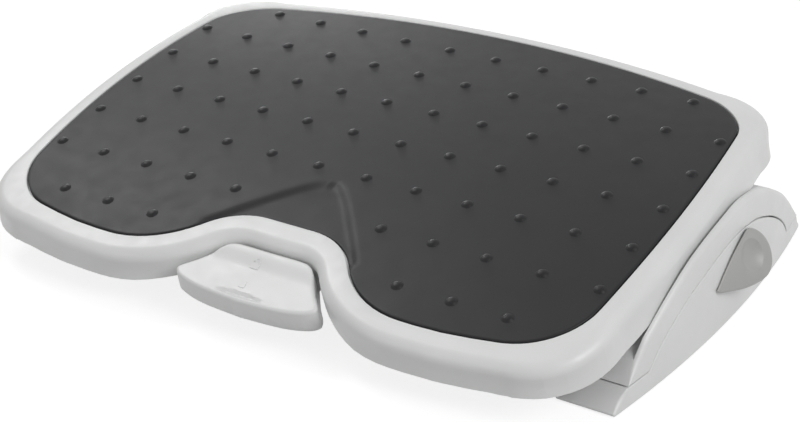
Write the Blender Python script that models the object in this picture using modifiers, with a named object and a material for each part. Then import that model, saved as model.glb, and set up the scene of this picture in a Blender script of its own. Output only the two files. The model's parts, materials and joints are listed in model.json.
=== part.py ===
"""Ergonomic footrest: a crowned platform with a rubber mat, on two side legs.

The hoods slide up and down in the legs, which sets the height. The platform swings on the
tilt shaft between the hoods, and a foot pedal frees the lock that holds its tilt.
All sizes are in millimetres. +X is to the right, +Y away from the user and +Z up, with the
origin on the floor under the middle of the footrest.
"""

import math

import bmesh
import bpy
from mathutils import Matrix, Vector

MM = 0.001
TOUCH = 0.3  # gap between pieces that rest on each other
RUNNING = 1.2  # gap between pieces that pass each other as the footrest moves
PAST = 20.0  # how far a shape that cuts passes the faces it cuts through

# Platform surface: x across, s along its crown from the middle, h above it
CROWN_RADIUS = 1478.6
REST_TILT = math.radians(13.18)
MAT_HALF_WIDTH = 232.3
MAT_FAR = 164.6
MAT_NEAR = -155.8
MAT_THICKNESS = 3.0
MAT_GAP = 0.8
FAR_CORNER = 38.0
NEAR_CORNER = 46.0
NEAR_CORNER_DEEP = 18.8
NEAR_TURN = 55.0
NEAR_TURN_IN = 36.7
NEAR_TURN_DEEP = 6.8
NEAR_SWEEP = 260.0
NEAR_SWEEP_IN = 79.5
FAR_BOW_RADIUS = 765.0
SIDE_BOW_RADIUS = 890.0
SIDE_BOW_MIDDLE = -10.0
NOTCH_DEPTH = 51.5
NOTCH_MOUTH_HALF = 84.2
NOTCH_ROOT_HALF = 43.0
NOTCH_MOUTH_RADIUS = 77.0
NOTCH_ROOT_RADIUS = 50.0
NOTCH_REACH = 120.0
DOT_PITCH = 40.0
DOT_ROW_PITCH = 43.48
DOT_INSET = 10.0  # least distance from the middle of a dot to the mat's edge
DOT_COLUMNS = 2 * int((MAT_HALF_WIDTH - DOT_INSET) / DOT_PITCH + 0.5)
DOT_ROWS = int((min(MAT_FAR, -MAT_NEAR) - DOT_INSET) / DOT_ROW_PITCH)  # on each side of the middle one
DOT_NOTCH_ROWS = 2
DOT_NOTCH_HALF = 50.0
DOT_SIDES = 6
DOT_PROFILE = [(4.3, -0.4), (2.2, 1.7)]  # radius and height over the mat
RIM_FAR = 14.0
RIM_SIDE = 15.5
RIM_NEAR = 20.0
RIM_NOTCH = 22.0
RIM_CORNER = 8.0  # how much wider the rim is at the outer corners
SHOULDER = 8.5
SKIRT_NEAR = 22.0
SKIRT_SIDE = 27.0
SKIRT_STEP = 60.0
SKIRT_FLARE = 2.0
SKIRT_DOOR = 16.0  # skirt depth where the pedal's arms pass under it
DOOR_HALF = 34.0
DOOR_SLOPE = 10.0
DOOR_END = -90.0
FLARE_FROM = 62.0  # the hem starts to flare here, past the pedal
FLARE_SLOPE = 30.0
FRAME_WALL = 2.5
FLOOR = 3.0
STRIP = 32.0  # length of the flat strips that follow the crown

# Tilt axis, and the mat's middle seen from it along and across the platform
PIVOT_Y = 25.0
PIVOT_HEIGHT = 70.0
SURFACE_AHEAD = 42.7
SURFACE_ABOVE = 30.5
TILT_UP = math.radians(3.5)
TILT_DOWN = math.radians(13.18)
LIFT = 32.0

# Leg from above
LEG_PROUD = 6.4  # how far a leg stands out past the tray's rim
LEG_BREADTH = 46.7
LEG_OUTER = MAT_HALF_WIDTH + RIM_SIDE + LEG_PROUD
LEG_INNER = LEG_OUTER - LEG_BREADTH
LEG_BOW_RADIUS = 1110.0
LEG_BOW_Y = -18.0
LEG_BOW_STEPS = 16

# Leg from the side: distances from the pivot's Y, and heights over the floor. The hump and the
# arch give their heights as shares of the pivot's height over the ledge.
SOLE = 1.0
LEDGE = 15.0
TOE = -164.5
TOE_TOP = -147.5
HEEL = 165.4
HEEL_TOP = 149.0
HUMP = [(-122, 0.000), (-111, 0.200), (-100, 0.336), (-77, 0.555), (-57, 0.673), (-34, 0.782),
        (-4, 0.855), (30, 0.809), (62, 0.627), (87, 0.418), (106, 0.200), (117, 0.009)]
HOOD_ARCH = [(-126, 0.455), (-102, 0.745), (-75, 1.000), (-50, 1.136), (-25, 1.218), (2, 1.264),
             (38, 1.173), (63, 1.009), (97, 0.709), (119, 0.455), (135, 0.236), (148, 0.018)]
SEAM = 0.6
FIN_GAP = 0.8

# Height clamp; the knob's outline is seen from outside as distances from its bolt
KNOB_Y = PIVOT_Y + 7.0
KNOB_HEIGHT = 44.5
TONGUE_HALF = 35.5
TONGUE_FOOT = 5.0
TONGUE_INNER_GAP = 8.0
TONGUE_OUTER_GAP = 10.7
TONGUE_DROP = 6.0
TONGUE_IN = LEG_INNER + TONGUE_INNER_GAP
TONGUE_OUT = LEG_OUTER - TONGUE_OUTER_GAP
TONGUE_TOP = PIVOT_HEIGHT - TONGUE_DROP
BOLT_RADIUS = 3.0
BOLT_END = 3.5
NUT_SIDE = 10.0
NUT_DEPTH = 3.0
NUT_IN = TONGUE_IN + NUT_DEPTH
NUT_THICKNESS = 5.0
KNOB_OUTLINE = [(-41.0, -9.5), (-38.0, -11.5), (-30.5, -13.2), (-14.5, -16.4), (-2.0, -17.0), (8.0, -15.6),
                (14.7, -11.0), (18.3, -4.5), (18.8, 3.0), (16.0, 9.5), (11.0, 14.5), (5.0, 17.6),
                (0.0, 16.4), (-20.0, 4.6), (-38.5, -8.0)]
KNOB_EDGE = (-40.0, -9.0)  # a point of the knob's thin edge
KNOB_RISE = (0.545, -0.839)  # the way in which its face rises from that edge
KNOB_SLOPE = 0.45
KNOB_THIN = 1.6
DIMPLE_RADIUS = 11.0
DIMPLE_DEPTH = 1.8

# Shaft, pivot blocks and bushes
SHAFT_RADIUS = 4.0
SHAFT_INSET = 17.2
SHAFT_HALF = LEG_OUTER - SHAFT_INSET
HUB_WALL = 3.2
BUSH_WALL = 2.0
BUSH_FIT = 0.1
BUSH_FLANGE = 1.5
BLOCK_GAP = 6.5
BLOCK_BREADTH = 13.0
BLOCK_OUT = LEG_INNER - BLOCK_GAP
BLOCK_IN = BLOCK_OUT - BLOCK_BREADTH
BLOCK_HUB = 11.0
BLOCK_FOOT_HALF = 24.0
BLOCK_FOOT = 4.0

# Cross tubes and foot pads
TUBE_RADIUS = 6.0
TUBE_WALL = 1.5
TUBE_HEIGHT = 13.0
TUBE_SOCKET = 10.0
FRONT_TUBE_Y = -72.0
REAR_TUBE_Y = 115.0
PAD_LENGTH = 34.0
PAD_WIDTH = 22.0
PAD_THICKNESS = 2.5
PAD_CORNER = 5.0
FRONT_PAD_INSET = 25.2
REAR_PAD_INSET = 31.2
FRONT_PAD_X = LEG_OUTER - FRONT_PAD_INSET
REAR_PAD_X = LEG_OUTER - REAR_PAD_INSET
FRONT_PAD_Y = -112.0
REAR_PAD_Y = 150.0

# Tilt lock, in the platform's own axes from the pivot: y along it and z across it
QUADRANT_RADIUS = 34.0
QUADRANT_HUB = 9.0
QUADRANT_SPREAD = math.radians(27)
QUADRANT_TEETH = 12
TOOTH_DEPTH = 2.0
PLATE = 6.0
PAWL_PIN_Y = -44.0
PAWL_PIN_Z = 15.0
PAWL_ARM = 8.0
PEDAL_PIN_Y = -147.0
PEDAL_PIN_Z = -2.0
PEDAL_LEVER = 14.0
PIN_RADIUS = 2.5
STUD_RADIUS = 2.0
ROD_WIDTH = 9.0
ROD_THICKNESS = 2.0
BRACKET_HALF = 34.0
BRACKET_SHEET = 2.0
BRACKET_FRONT = -155.0
BRACKET_REAR = -34.0
CHEEK_MARGIN = 8.5  # sheet left round a pin, along the cheek
CHEEK_DROP = 7.0  # sheet left under the pedal's pin
CHEEK_LOW = 8.0  # height of the cheek's lower edge between the pins
CHEEK_SLOPE = 15.0
CHEEK_CORNER = 5.0

# Pedal: x and s on the crown, h below it
PEDAL_HALF_WIDTH = 58.5
PEDAL_FRONT = -175.0
PEDAL_FLAT = 0.55  # share of its half width over which the front edge bows by PEDAL_FRONT_BOW
PEDAL_FRONT_BOW = 2.0
PEDAL_CORNER = [(7.5, 6.5), (1.0, 12.0), (2.5, 17.0), (9.5, 25.0), (15.5, 33.0)]  # in, and back from the front
RIDGE_CORNER = [(0.5, 7.5), (6.0, 2.3), (14.0, 0.0)]  # in, and ahead of the back edge
PEDAL_BACK = -128.4
PEDAL_PAD_DROP = 7.7
PEDAL_RIDGE_DROP = 4.7
PEDAL_THICKNESS = 17.0
PEDAL_EDGE = 2.2
RIDGE_HALF_WIDTH = 39.0
RIDGE_FOOT = -146.0
RIDGE_CREST = -134.0
PEDAL_HUB = 5.5
PEDAL_ARM_HALF = 30.0
PEDAL_ARM = 6.0

# Underside pan
PAN_HALF_WIDTH = 76.0
PAN_FRONT = -159.0
PAN_REAR = -64.0
PAN_BOTTOM = -13.0
PAN_WALL = 2.0
PAN_CORNER = 12.0
PAN_DOOR_HALF = 40.0
PAWL_DOOR_LOW = 1.5

RECESS = MAT_THICKNESS + TOUCH
UNDERSIDE = RECESS + FLOOR
HUB_RADIUS = SHAFT_RADIUS + TOUCH + HUB_WALL
BUSH_RADIUS = SHAFT_RADIUS + BUSH_FIT + BUSH_WALL


def clear_scene():
    for item in list(bpy.data.objects):
        bpy.data.objects.remove(item)


def collection(name):
    group = bpy.data.collections.get(name) or bpy.data.collections.new(name)
    if group.name not in bpy.context.scene.collection.children:
        bpy.context.scene.collection.children.link(group)
    return group


def material(name, color, roughness, metallic=0.0):
    made = bpy.data.materials.get(name) or bpy.data.materials.new(name)
    made.use_nodes = True
    shader = made.node_tree.nodes["Principled BSDF"]
    shader.inputs["Base Color"].default_value = (*color, 1.0)
    shader.inputs["Roughness"].default_value = roughness
    shader.inputs["Metallic"].default_value = metallic
    return made


def grey_plastic():
    return material("light_grey_abs", (0.76, 0.77, 0.77), 0.42)


def knob_plastic():
    return material("grey_abs", (0.52, 0.52, 0.51), 0.45)


def nylon():
    return material("white_nylon", (0.85, 0.85, 0.82), 0.5)


def rubber():
    return material("dark_rubber", (0.07, 0.07, 0.075), 0.75)


def steel():
    return material("zinc_plated_steel", (0.6, 0.6, 0.6), 0.35, 0.9)


# Flat outlines, counter-clockwise lists of (a, b) points

def rounded(corners, turn=12.0):
    """An outline from (a, b, radius) corners, with an arc in each that has a radius."""
    points = []
    count = len(corners)
    for index, (a, b, radius) in enumerate(corners):
        here = Vector((a, b))
        if radius <= 0:
            points.append((a, b))
            continue
        back = (Vector(corners[index - 1][:2]) - here).normalized()
        ahead = (Vector(corners[(index + 1) % count][:2]) - here).normalized()
        half = math.acos(max(-1.0, min(1.0, back.dot(ahead)))) / 2
        centre = here + (back + ahead).normalized() * (radius / math.sin(half))
        start = here + back * (radius / math.tan(half)) - centre
        sweep = math.pi - 2 * half
        if back.x * ahead.y - back.y * ahead.x > 0:
            sweep = -sweep
        steps = max(2, math.ceil(math.degrees(abs(sweep)) / turn))
        for step in range(steps + 1):
            spoke = Matrix.Rotation(sweep * step / steps, 2) @ start
            points.append(tuple(centre + spoke))
    return points


def subdivided(points, longest):
    """The same closed outline with points added on its long sides."""
    made = []
    for here, ahead in zip(points, points[1:] + points[:1]):
        parts = max(1, math.ceil(math.dist(here, ahead) / longest))
        for part in range(parts):
            made.append(tuple(Vector(here).lerp(Vector(ahead), part / parts)))
    return made


def smooth(points, steps=3):
    """A smooth open line through the points."""
    ends = [points[0]] + list(points) + [points[-1]]
    made = []
    for p0, p1, p2, p3 in zip(ends, ends[1:], ends[2:], ends[3:]):
        for step in range(steps):
            t = step / steps
            made.append(tuple(
                0.5 * (2 * b + (c - a) * t + (2 * a - 5 * b + 4 * c - d) * t ** 2
                       + (3 * b - a - 3 * c + d) * t ** 3)
                for a, b, c, d in zip(p0, p1, p2, p3)))
    return made + [tuple(points[-1])]


def offset(points, distance, closed=True):
    """The line moved to its right by a distance, or by one distance for each point."""
    count = len(points)
    moved = []
    for index, here in enumerate(points):
        back = points[index - 1] if closed or index else here
        ahead = points[(index + 1) % count] if closed or index < count - 1 else here
        along = (Vector(ahead) - Vector(back)).normalized()
        step = distance[index] if isinstance(distance, list) else distance
        moved.append((here[0] + along.y * step, here[1] - along.x * step))
    return moved


def circle(a, b, radius, count=24):
    return [(a + radius * math.cos(math.tau * step / count), b + radius * math.sin(math.tau * step / count))
            for step in range(count)]


def capsule(start, end, radius, count=8):
    """A strip with round ends between two points."""
    along = Vector(end) - Vector(start)
    heading = math.atan2(along.y, along.x)
    points = []
    for middle, turn in ((end, -math.pi / 2), (start, math.pi / 2)):
        for step in range(count + 1):
            angle = heading + turn + math.pi * step / count
            points.append((middle[0] + radius * math.cos(angle), middle[1] + radius * math.sin(angle)))
    return points


# Solids

AXES = {
    "X": Matrix(((0, 0, 1), (1, 0, 0), (0, 1, 0))),
    "Z": Matrix.Identity(3),
}


def add_object(name, mesh, group, look=None):
    made = bpy.data.objects.new(name, mesh)
    group.objects.link(made)
    if look:
        mesh.materials.append(look)
    return made


def part(name, mesh, look, parent=None):
    made = add_object(name, mesh, collection("ergonomic_footrest"), look)
    made.parent = parent
    return made


def prism(outlines, low, high, axis="X"):
    """A mesh between two planes across an axis; outlines after the first are holes."""
    curve = bpy.data.curves.new("outline", "CURVE")
    curve.dimensions = "2D"
    curve.fill_mode = "BOTH"
    curve.extrude = (high - low) / 2 * MM
    for outline in outlines:
        spline = curve.splines.new("POLY")
        spline.points.add(len(outline) - 1)
        for point, (a, b) in zip(spline.points, outline):
            point.co = (a * MM, b * MM, 0.0, 1.0)
        spline.use_cyclic_u = True
    source = bpy.data.objects.new("outline", curve)
    bpy.context.scene.collection.objects.link(source)
    evaluated = source.evaluated_get(bpy.context.evaluated_depsgraph_get())
    mesh = bpy.data.meshes.new_from_object(evaluated)
    bpy.data.objects.remove(source)
    work = bmesh.new()
    work.from_mesh(mesh)
    bmesh.ops.remove_doubles(work, verts=work.verts, dist=0.00001)
    middle = Matrix.Translation((0.0, 0.0, (low + high) / 2 * MM))
    bmesh.ops.transform(work, matrix=AXES[axis].to_4x4() @ middle, verts=work.verts)
    bmesh.ops.recalc_face_normals(work, faces=work.faces)
    work.to_mesh(mesh)
    work.free()
    return mesh


def loft(rings, placed, strips=None):
    """A closed solid through rings of (x, y, z), capped at both ends, then put in place."""
    work = bmesh.new()
    rows = [[work.verts.new(point) for point in ring] for ring in rings]
    count = len(rows[0])
    for low, high in zip(rows, rows[1:]):
        for index in range(count):
            after = (index + 1) % count
            work.faces.new((low[index], low[after], high[after], high[index]))
    work.faces.new(list(reversed(rows[0])))
    work.faces.new(rows[-1])
    for cut in strips or ():
        whole = work.verts[:] + work.edges[:] + work.faces[:]
        bmesh.ops.bisect_plane(work, geom=whole, dist=0.0001, plane_co=(0, cut, 0), plane_no=(0, 1, 0))
    for vert in work.verts:
        vert.co = placed(*vert.co)
    bmesh.ops.triangulate(work, faces=[face for face in work.faces if len(face.verts) > 4])
    bmesh.ops.recalc_face_normals(work, faces=work.faces)
    mesh = bpy.data.meshes.new("loft")
    work.to_mesh(mesh)
    work.free()
    return mesh


def rod(low, high, radius, y=0.0, z=0.0, count=24, chamfer=0.0):
    """A round bar along X, with chamfered ends, turned from its profile."""
    profile = [(low, 0.0), (low, radius - chamfer), (low + chamfer, radius),
               (high - chamfer, radius), (high, radius - chamfer), (high, 0.0)]
    if not chamfer:
        profile = [(low, 0.0), (low, radius), (high, radius), (high, 0.0)]
    return turned(profile, y, z, count)


def turned(profile, y=0.0, z=0.0, count=24):
    """A solid of revolution about X, from a profile of (x, radius) points."""
    work = bmesh.new()
    line = [work.verts.new((x * MM, 0.0, radius * MM)) for x, radius in profile]
    for here, ahead in zip(line, line[1:]):
        work.edges.new((here, ahead))
    if profile[0][1] > 0:
        work.edges.new((line[-1], line[0]))
    mesh = bpy.data.meshes.new("profile")
    work.to_mesh(mesh)
    work.free()
    source = bpy.data.objects.new("profile", mesh)
    bpy.context.scene.collection.objects.link(source)
    screw = source.modifiers.new("Turn", "SCREW")
    screw.axis = "X"
    screw.steps = count
    screw.render_steps = count
    screw.use_merge_vertices = True
    screw.merge_threshold = 0.00001
    made = bpy.data.meshes.new_from_object(source.evaluated_get(bpy.context.evaluated_depsgraph_get()))
    bpy.data.objects.remove(source)
    work = bmesh.new()
    work.from_mesh(made)
    bmesh.ops.translate(work, verts=work.verts, vec=(0.0, y * MM, z * MM))
    bmesh.ops.recalc_face_normals(work, faces=work.faces)
    work.to_mesh(made)
    work.free()
    return made


def boolean(target, mesh, operation, name):
    """A Boolean of the target with a tool, which is kept in its own collection."""
    tool = add_object(name, mesh, collection("cutters"))
    tool.parent = target.parent
    tool.hide_render = True
    tool.display_type = "WIRE"
    step = target.modifiers.new(name, "BOOLEAN")
    step.operation = operation
    step.solver = "EXACT"
    step.object = tool
    return tool


def cut(target, mesh, name):
    return boolean(target, mesh, "DIFFERENCE", target.name + "_" + name)


def joined(target, mesh, name):
    return boolean(target, mesh, "UNION", target.name + "_" + name)


def mirrored(mesh):
    """A copy of the mesh for the left side."""
    work = bmesh.new()
    work.from_mesh(mesh)
    bmesh.ops.scale(work, vec=(-1.0, 1.0, 1.0), verts=work.verts)
    bmesh.ops.reverse_faces(work, faces=work.faces)
    made = bpy.data.meshes.new("mirrored")
    work.to_mesh(made)
    work.free()
    return made


def sided(mesh, side):
    return mesh if side > 0 else mirrored(mesh)


def empty(name, y, z, tilt=0.0):
    made = bpy.data.objects.new(name, None)
    collection("ergonomic_footrest").objects.link(made)
    made.location = (0.0, y * MM, z * MM)
    made.rotation_euler = (tilt, 0.0, 0.0)
    made.empty_display_size = 0.03
    return made


# The platform's surface

def on_crown(x, s, h):
    """A point of the crowned platform, in its own axes from the pivot, in metres."""
    angle = s / CROWN_RADIUS
    y = (CROWN_RADIUS + h) * math.sin(angle) - SURFACE_AHEAD
    z = (CROWN_RADIUS + h) * math.cos(angle) - CROWN_RADIUS + SURFACE_ABOVE
    return Vector((x * MM, y * MM, z * MM))


def crown_s(y):
    """How far along the crown a place lies, from its distance to the pivot."""
    return CROWN_RADIUS * math.asin((y + SURFACE_AHEAD) / CROWN_RADIUS)


def underside(y, gap=TOUCH):
    """Height of the frame floor's lower face over the pivot."""
    return on_crown(0.0, crown_s(y), -UNDERSIDE).z / MM - gap


def share_of(value):
    return max(0.0, min(1.0, value))


def beside_door(x, s):
    """0 over the pedal's arms, rising to 1 beside them."""
    if s > DOOR_END:
        return 1.0
    return share_of((abs(x) - DOOR_HALF) / DOOR_SLOPE)


def flare(x, s):
    """How far the hem stands out: not at all beside the pedal."""
    if s > DOOR_END:
        return SKIRT_FLARE
    return SKIRT_FLARE * share_of((abs(x) - FLARE_FROM) / FLARE_SLOPE)


def skirt_depth(x, s):
    depth = SKIRT_NEAR + (SKIRT_SIDE - SKIRT_NEAR) * share_of((s - MAT_NEAR) / SKIRT_STEP)
    return SKIRT_DOOR + (depth - SKIRT_DOOR) * beside_door(x, s)


def bowed(x, s):
    """Draws a straight outline in at its sides and far corners."""
    s -= max(0.0, s) / MAT_FAR * x * x / (2 * FAR_BOW_RADIUS)
    side = (s - SIDE_BOW_MIDDLE) ** 2 / (2 * SIDE_BOW_RADIUS)
    share = (abs(x) / MAT_HALF_WIDTH) ** 2
    return x - math.copysign(side * share, x), s


def mat_outline():
    notch = MAT_NEAR + NOTCH_DEPTH
    near = [(NOTCH_ROOT_HALF, notch, NOTCH_ROOT_RADIUS), (NOTCH_MOUTH_HALF, MAT_NEAR, NOTCH_MOUTH_RADIUS),
            (MAT_HALF_WIDTH - NEAR_SWEEP_IN, MAT_NEAR, NEAR_SWEEP),
            (MAT_HALF_WIDTH - NEAR_TURN_IN, MAT_NEAR + NEAR_TURN_DEEP, NEAR_TURN),
            (MAT_HALF_WIDTH, MAT_NEAR + NEAR_CORNER_DEEP, NEAR_CORNER)]
    corners = [(MAT_HALF_WIDTH, MAT_FAR, FAR_CORNER), (-MAT_HALF_WIDTH, MAT_FAR, FAR_CORNER)]
    corners += [(-x, s, radius) for x, s, radius in reversed(near)] + near
    return [bowed(x, s) for x, s in subdivided(rounded(corners, 15.0), STRIP)]


def frame_outline():
    """The mat's outline moved out by the rim, which is wider near the user."""
    inner = mat_outline()
    widths = []
    for index, (x, s) in enumerate(inner):
        along = Vector(inner[(index + 1) % len(inner)]) - Vector(inner[index - 1])
        facing = -along.normalized().x
        share = facing ** 2
        wide = RIM_FAR
        if facing < 0:
            wide = RIM_NOTCH + (RIM_NEAR - RIM_NOTCH) * min(1.0, abs(x) / NOTCH_MOUTH_HALF)
            if abs(x) < NOTCH_REACH:
                share = 1.0
        widths.append(RIM_SIDE + (wide - RIM_SIDE) * share + RIM_CORNER * 4 * share * (1 - share))
    return offset(inner, widths)


def crown_strips():
    first = math.ceil((MAT_NEAR - RIM_NEAR) / STRIP)
    last = math.floor((MAT_FAR + RIM_FAR) / STRIP)
    return [step * STRIP for step in range(first, last + 1)]


def level(outline, height):
    return [(x, s, height) for x, s in outline]


def platform_frame(parent):
    mat = mat_outline()
    outer = frame_outline()

    def skirt(outline):
        return [(x, s, -skirt_depth(x, s)) for x, s in outline]

    lip = offset(mat, MAT_GAP)
    rings = [level(lip, -RECESS), level(lip, -MAT_GAP), level(offset(mat, 2 * MAT_GAP), 0.0)]
    for angle in (90, 60, 30, 0):
        turn = math.radians(angle)
        inset = SHOULDER * (1 - math.cos(turn))
        rings.append(level(offset(outer, -inset), SHOULDER * (math.sin(turn) - 1)))
    inside = offset(outer, -FRAME_WALL)
    hem = offset(outer, [flare(x, s) for x, s in outer])
    rings += [skirt(hem), skirt(offset(hem, -FRAME_WALL)), level(inside, -SHOULDER),
              level(offset(outer, -SHOULDER), -FLOOR), level(offset(mat, MAT_GAP + FRAME_WALL), -FLOOR),
              level(offset(mat, MAT_GAP + FRAME_WALL), -UNDERSIDE)]
    frame = part("platform_frame", loft(rings, on_crown, crown_strips()), grey_plastic(), parent)
    relief = HUB_RADIUS + RUNNING
    for side in (1, -1):
        hole = rod(side * (LEG_INNER + PAST), side * (LEG_OUTER + PAST), relief)
        cut(frame, hole, "relief_" + ("right" if side > 0 else "left"))
    return frame


def dot_places():
    """The middles of the raised dots, in rows that leave out the corners and the notch."""
    places = []
    for row in range(-DOT_ROWS, DOT_ROWS + 1):
        for column in range(DOT_COLUMNS):
            x = (column - (DOT_COLUMNS - 1) / 2) * DOT_PITCH
            at_end = abs(row) == DOT_ROWS and column in (0, DOT_COLUMNS - 1)
            reach = DOT_NOTCH_HALF + (DOT_PITCH if row == -DOT_ROWS else 0.0)
            if not at_end and not (row + DOT_ROWS < DOT_NOTCH_ROWS and abs(x) < reach):
                places.append((x, row * DOT_ROW_PITCH))
    return places


def foot_mat(parent):
    """The mat, with all its dots joined to it in one step."""
    outline = mat_outline()
    rings = [level(outline, -MAT_THICKNESS), level(outline, -1.0), level(offset(outline, -0.8), 0.0)]
    made = part("foot_mat", loft(rings, on_crown, crown_strips()), rubber(), parent)
    dots = bmesh.new()
    for x, s in dot_places():
        rows = [[dots.verts.new(on_crown(a, b, height)) for a, b in circle(x, s, radius, DOT_SIDES)]
                for radius, height in DOT_PROFILE]
        for low, high in zip(rows, rows[1:]):
            for index in range(DOT_SIDES):
                after = (index + 1) % DOT_SIDES
                dots.faces.new((low[index], low[after], high[after], high[index]))
        dots.faces.new(list(reversed(rows[0])))
        dots.faces.new(rows[-1])
    mesh = bpy.data.meshes.new("dots")
    dots.to_mesh(mesh)
    dots.free()
    joined(made, mesh, "dots")
    return made


# Legs and hoods

def leg_plan():
    """The leg from above: straight inside and bowed outside."""
    front = PIVOT_Y + TOE - PAST
    rear = PIVOT_Y + HEEL + PAST
    bow = []
    for step in range(LEG_BOW_STEPS + 1):
        y = front + (rear - front) * step / LEG_BOW_STEPS
        bow.append((LEG_OUTER - (y - LEG_BOW_Y) ** 2 / (2 * LEG_BOW_RADIUS), y))
    return [(LEG_INNER, front)] + bow + [(LEG_INNER, rear)]


def raised(points):
    """Outline points with their shares turned into heights over the floor."""
    return [(a, LEDGE + share * (PIVOT_HEIGHT - LEDGE)) for a, share in points]


def from_pivot(points):
    """Side outline points, moved from the pivot to the footrest's own Y."""
    return [(PIVOT_Y + a, b) for a, b in points]


def side_solid(name, outline, look, side):
    mesh = prism([from_pivot(outline)], LEG_INNER - PAST, LEG_OUTER + PAST)
    made = part(name, sided(mesh, side), look)
    plan = prism([leg_plan()], -PAST, 2 * PIVOT_HEIGHT, "Z")
    boolean(made, sided(plan, side), "INTERSECT", name + "_plan")
    return made


def leg(name, side):
    hump = list(reversed(smooth(raised(HUMP))))
    outline = [(TOE + SOLE, SOLE), (HEEL - SOLE, SOLE), (HEEL_TOP, LEDGE)] + hump + [(TOE_TOP, LEDGE)]
    made = side_solid(name, outline, grey_plastic(), side)
    low_y = PIVOT_Y - TONGUE_HALF - TOUCH
    high_y = PIVOT_Y + TONGUE_HALF + TOUCH
    low_z = TONGUE_FOOT - TOUCH
    high_z = PIVOT_HEIGHT + PAST
    pocket = [(low_y, low_z), (high_y, low_z), (high_y, high_z), (low_y, high_z)]
    cut(made, sided(prism([pocket], TONGUE_IN - TOUCH, TONGUE_OUT + TOUCH), side), "pocket")
    hole = rod(TONGUE_OUT - TOUCH, LEG_OUTER + PAST, BOLT_RADIUS + TOUCH, KNOB_Y, KNOB_HEIGHT)
    cut(made, sided(hole, side), "bolt_hole")
    for tube_y, label in ((FRONT_TUBE_Y, "front"), (REAR_TUBE_Y, "rear")):
        socket = rod(LEG_INNER - PAST, LEG_INNER + TUBE_SOCKET, TUBE_RADIUS + TOUCH, tube_y, TUBE_HEIGHT)
        cut(made, sided(socket, side), label + "_socket")
    for pad_x, pad_y, label in ((FRONT_PAD_X, FRONT_PAD_Y, "front"), (REAR_PAD_X, REAR_PAD_Y, "rear")):
        seat = prism([pad_outline(pad_x, pad_y, TOUCH)], -PAST, PAD_THICKNESS + TOUCH, "Z")
        cut(made, sided(seat, side), label + "_pad_seat")
    return made


def pad_outline(x, y, grow=0.0):
    wide = PAD_WIDTH / 2 + grow
    long = PAD_LENGTH / 2 + grow
    radius = PAD_CORNER + grow
    return rounded([(x - wide, y - long, radius), (x + wide, y - long, radius),
                    (x + wide, y + long, radius), (x - wide, y + long, radius)], 30)


def at_tilt(x, s, tilt):
    """Where a point of the skirt's hem lies at one tilt, as the footrest's own x, y and z."""
    low = on_crown(x, s, -skirt_depth(x, s)) / MM
    y = low.y * math.cos(tilt) - low.z * math.sin(tilt)
    z = low.y * math.sin(tilt) + low.z * math.cos(tilt)
    return x, PIVOT_Y + y, PIVOT_HEIGHT + z


def skirt_clearance(tilt):
    """What the skirt sweeps at one tilt, from the side, with the running gap."""
    line = []
    for s in range(-150, 171, 20):
        _, y, z = at_tilt(LEG_INNER, s, tilt)
        line.append((y, z - RUNNING))
    top = 2 * PIVOT_HEIGHT
    return line + [(line[-1][0], top), (line[0][0], top)]


def skirt_plan(tilt):
    """From above at one tilt, the skirt's hem and the gap that the hood's fin keeps to it."""
    outer = frame_outline()
    hem = offset(outer, [flare(x, s) + FIN_GAP for x, s in outer])
    side = sorted((at_tilt(x, s, tilt)[:2] for x, s in hem if x > LEG_INNER), key=lambda point: point[1])
    inside = LEG_INNER - PAST
    return [(inside, side[0][1])] + side + [(inside, side[-1][1])]


def hood(name, side):
    seam = offset(smooth(raised(HUMP)), -SEAM, closed=False)
    arch = list(reversed(smooth(raised(HOOD_ARCH))))
    seat = LEDGE + SEAM
    seam = [(a, b) for a, b in seam if b > seat]
    left_corner = (HUMP[0][0] - SEAM, seat)
    right_corner = (HUMP[-1][0] + SEAM, seat)
    outline = [(TOE_TOP + 1.0, seat), left_corner] + seam + [right_corner, (HOOD_ARCH[-1][0], seat)]
    outline += arch
    made = side_solid(name, outline, grey_plastic(), side)
    tongue = [(PIVOT_Y - TONGUE_HALF, TONGUE_FOOT), (PIVOT_Y + TONGUE_HALF, TONGUE_FOOT),
              (PIVOT_Y + TONGUE_HALF, TONGUE_TOP), (PIVOT_Y - TONGUE_HALF, TONGUE_TOP)]
    joined(made, sided(prism([tongue], TONGUE_IN, TONGUE_OUT), side), "tongue")
    for tilt, label in ((REST_TILT + TILT_UP, "raised"), (REST_TILT - TILT_DOWN, "level")):
        swept = prism([skirt_clearance(tilt)], LEG_INNER - PAST, LEG_OUTER + PAST)
        room = cut(made, sided(swept, side), label + "_skirt")
        plan = prism([skirt_plan(tilt)], -PAST, 3 * PIVOT_HEIGHT, "Z")
        boolean(room, sided(plan, side), "INTERSECT", room.name + "_plan")
    hub = rod(LEG_INNER + 0.8, LEG_OUTER - 6.5, HUB_RADIUS, PIVOT_Y, PIVOT_HEIGHT)
    joined(made, sided(hub, side), "hub")
    bore = rod(LEG_INNER - PAST, SHAFT_HALF + TOUCH, SHAFT_RADIUS + TOUCH, PIVOT_Y, PIVOT_HEIGHT)
    cut(made, sided(bore, side), "bore")
    slot = capsule((KNOB_Y, KNOB_HEIGHT - LIFT), (KNOB_Y, KNOB_HEIGHT), BOLT_RADIUS + TOUCH)
    cut(made, sided(prism([slot], TONGUE_IN - TOUCH, TONGUE_OUT + TOUCH), side), "bolt_slot")
    track = square_round_bolt(NUT_SIDE / 2 + TOUCH, KNOB_HEIGHT - LIFT, KNOB_HEIGHT)
    floor = NUT_IN + NUT_THICKNESS + TOUCH
    cut(made, sided(prism([track], TONGUE_IN - TOUCH, floor), side), "nut_track")
    return made


# Height clamp

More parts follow.
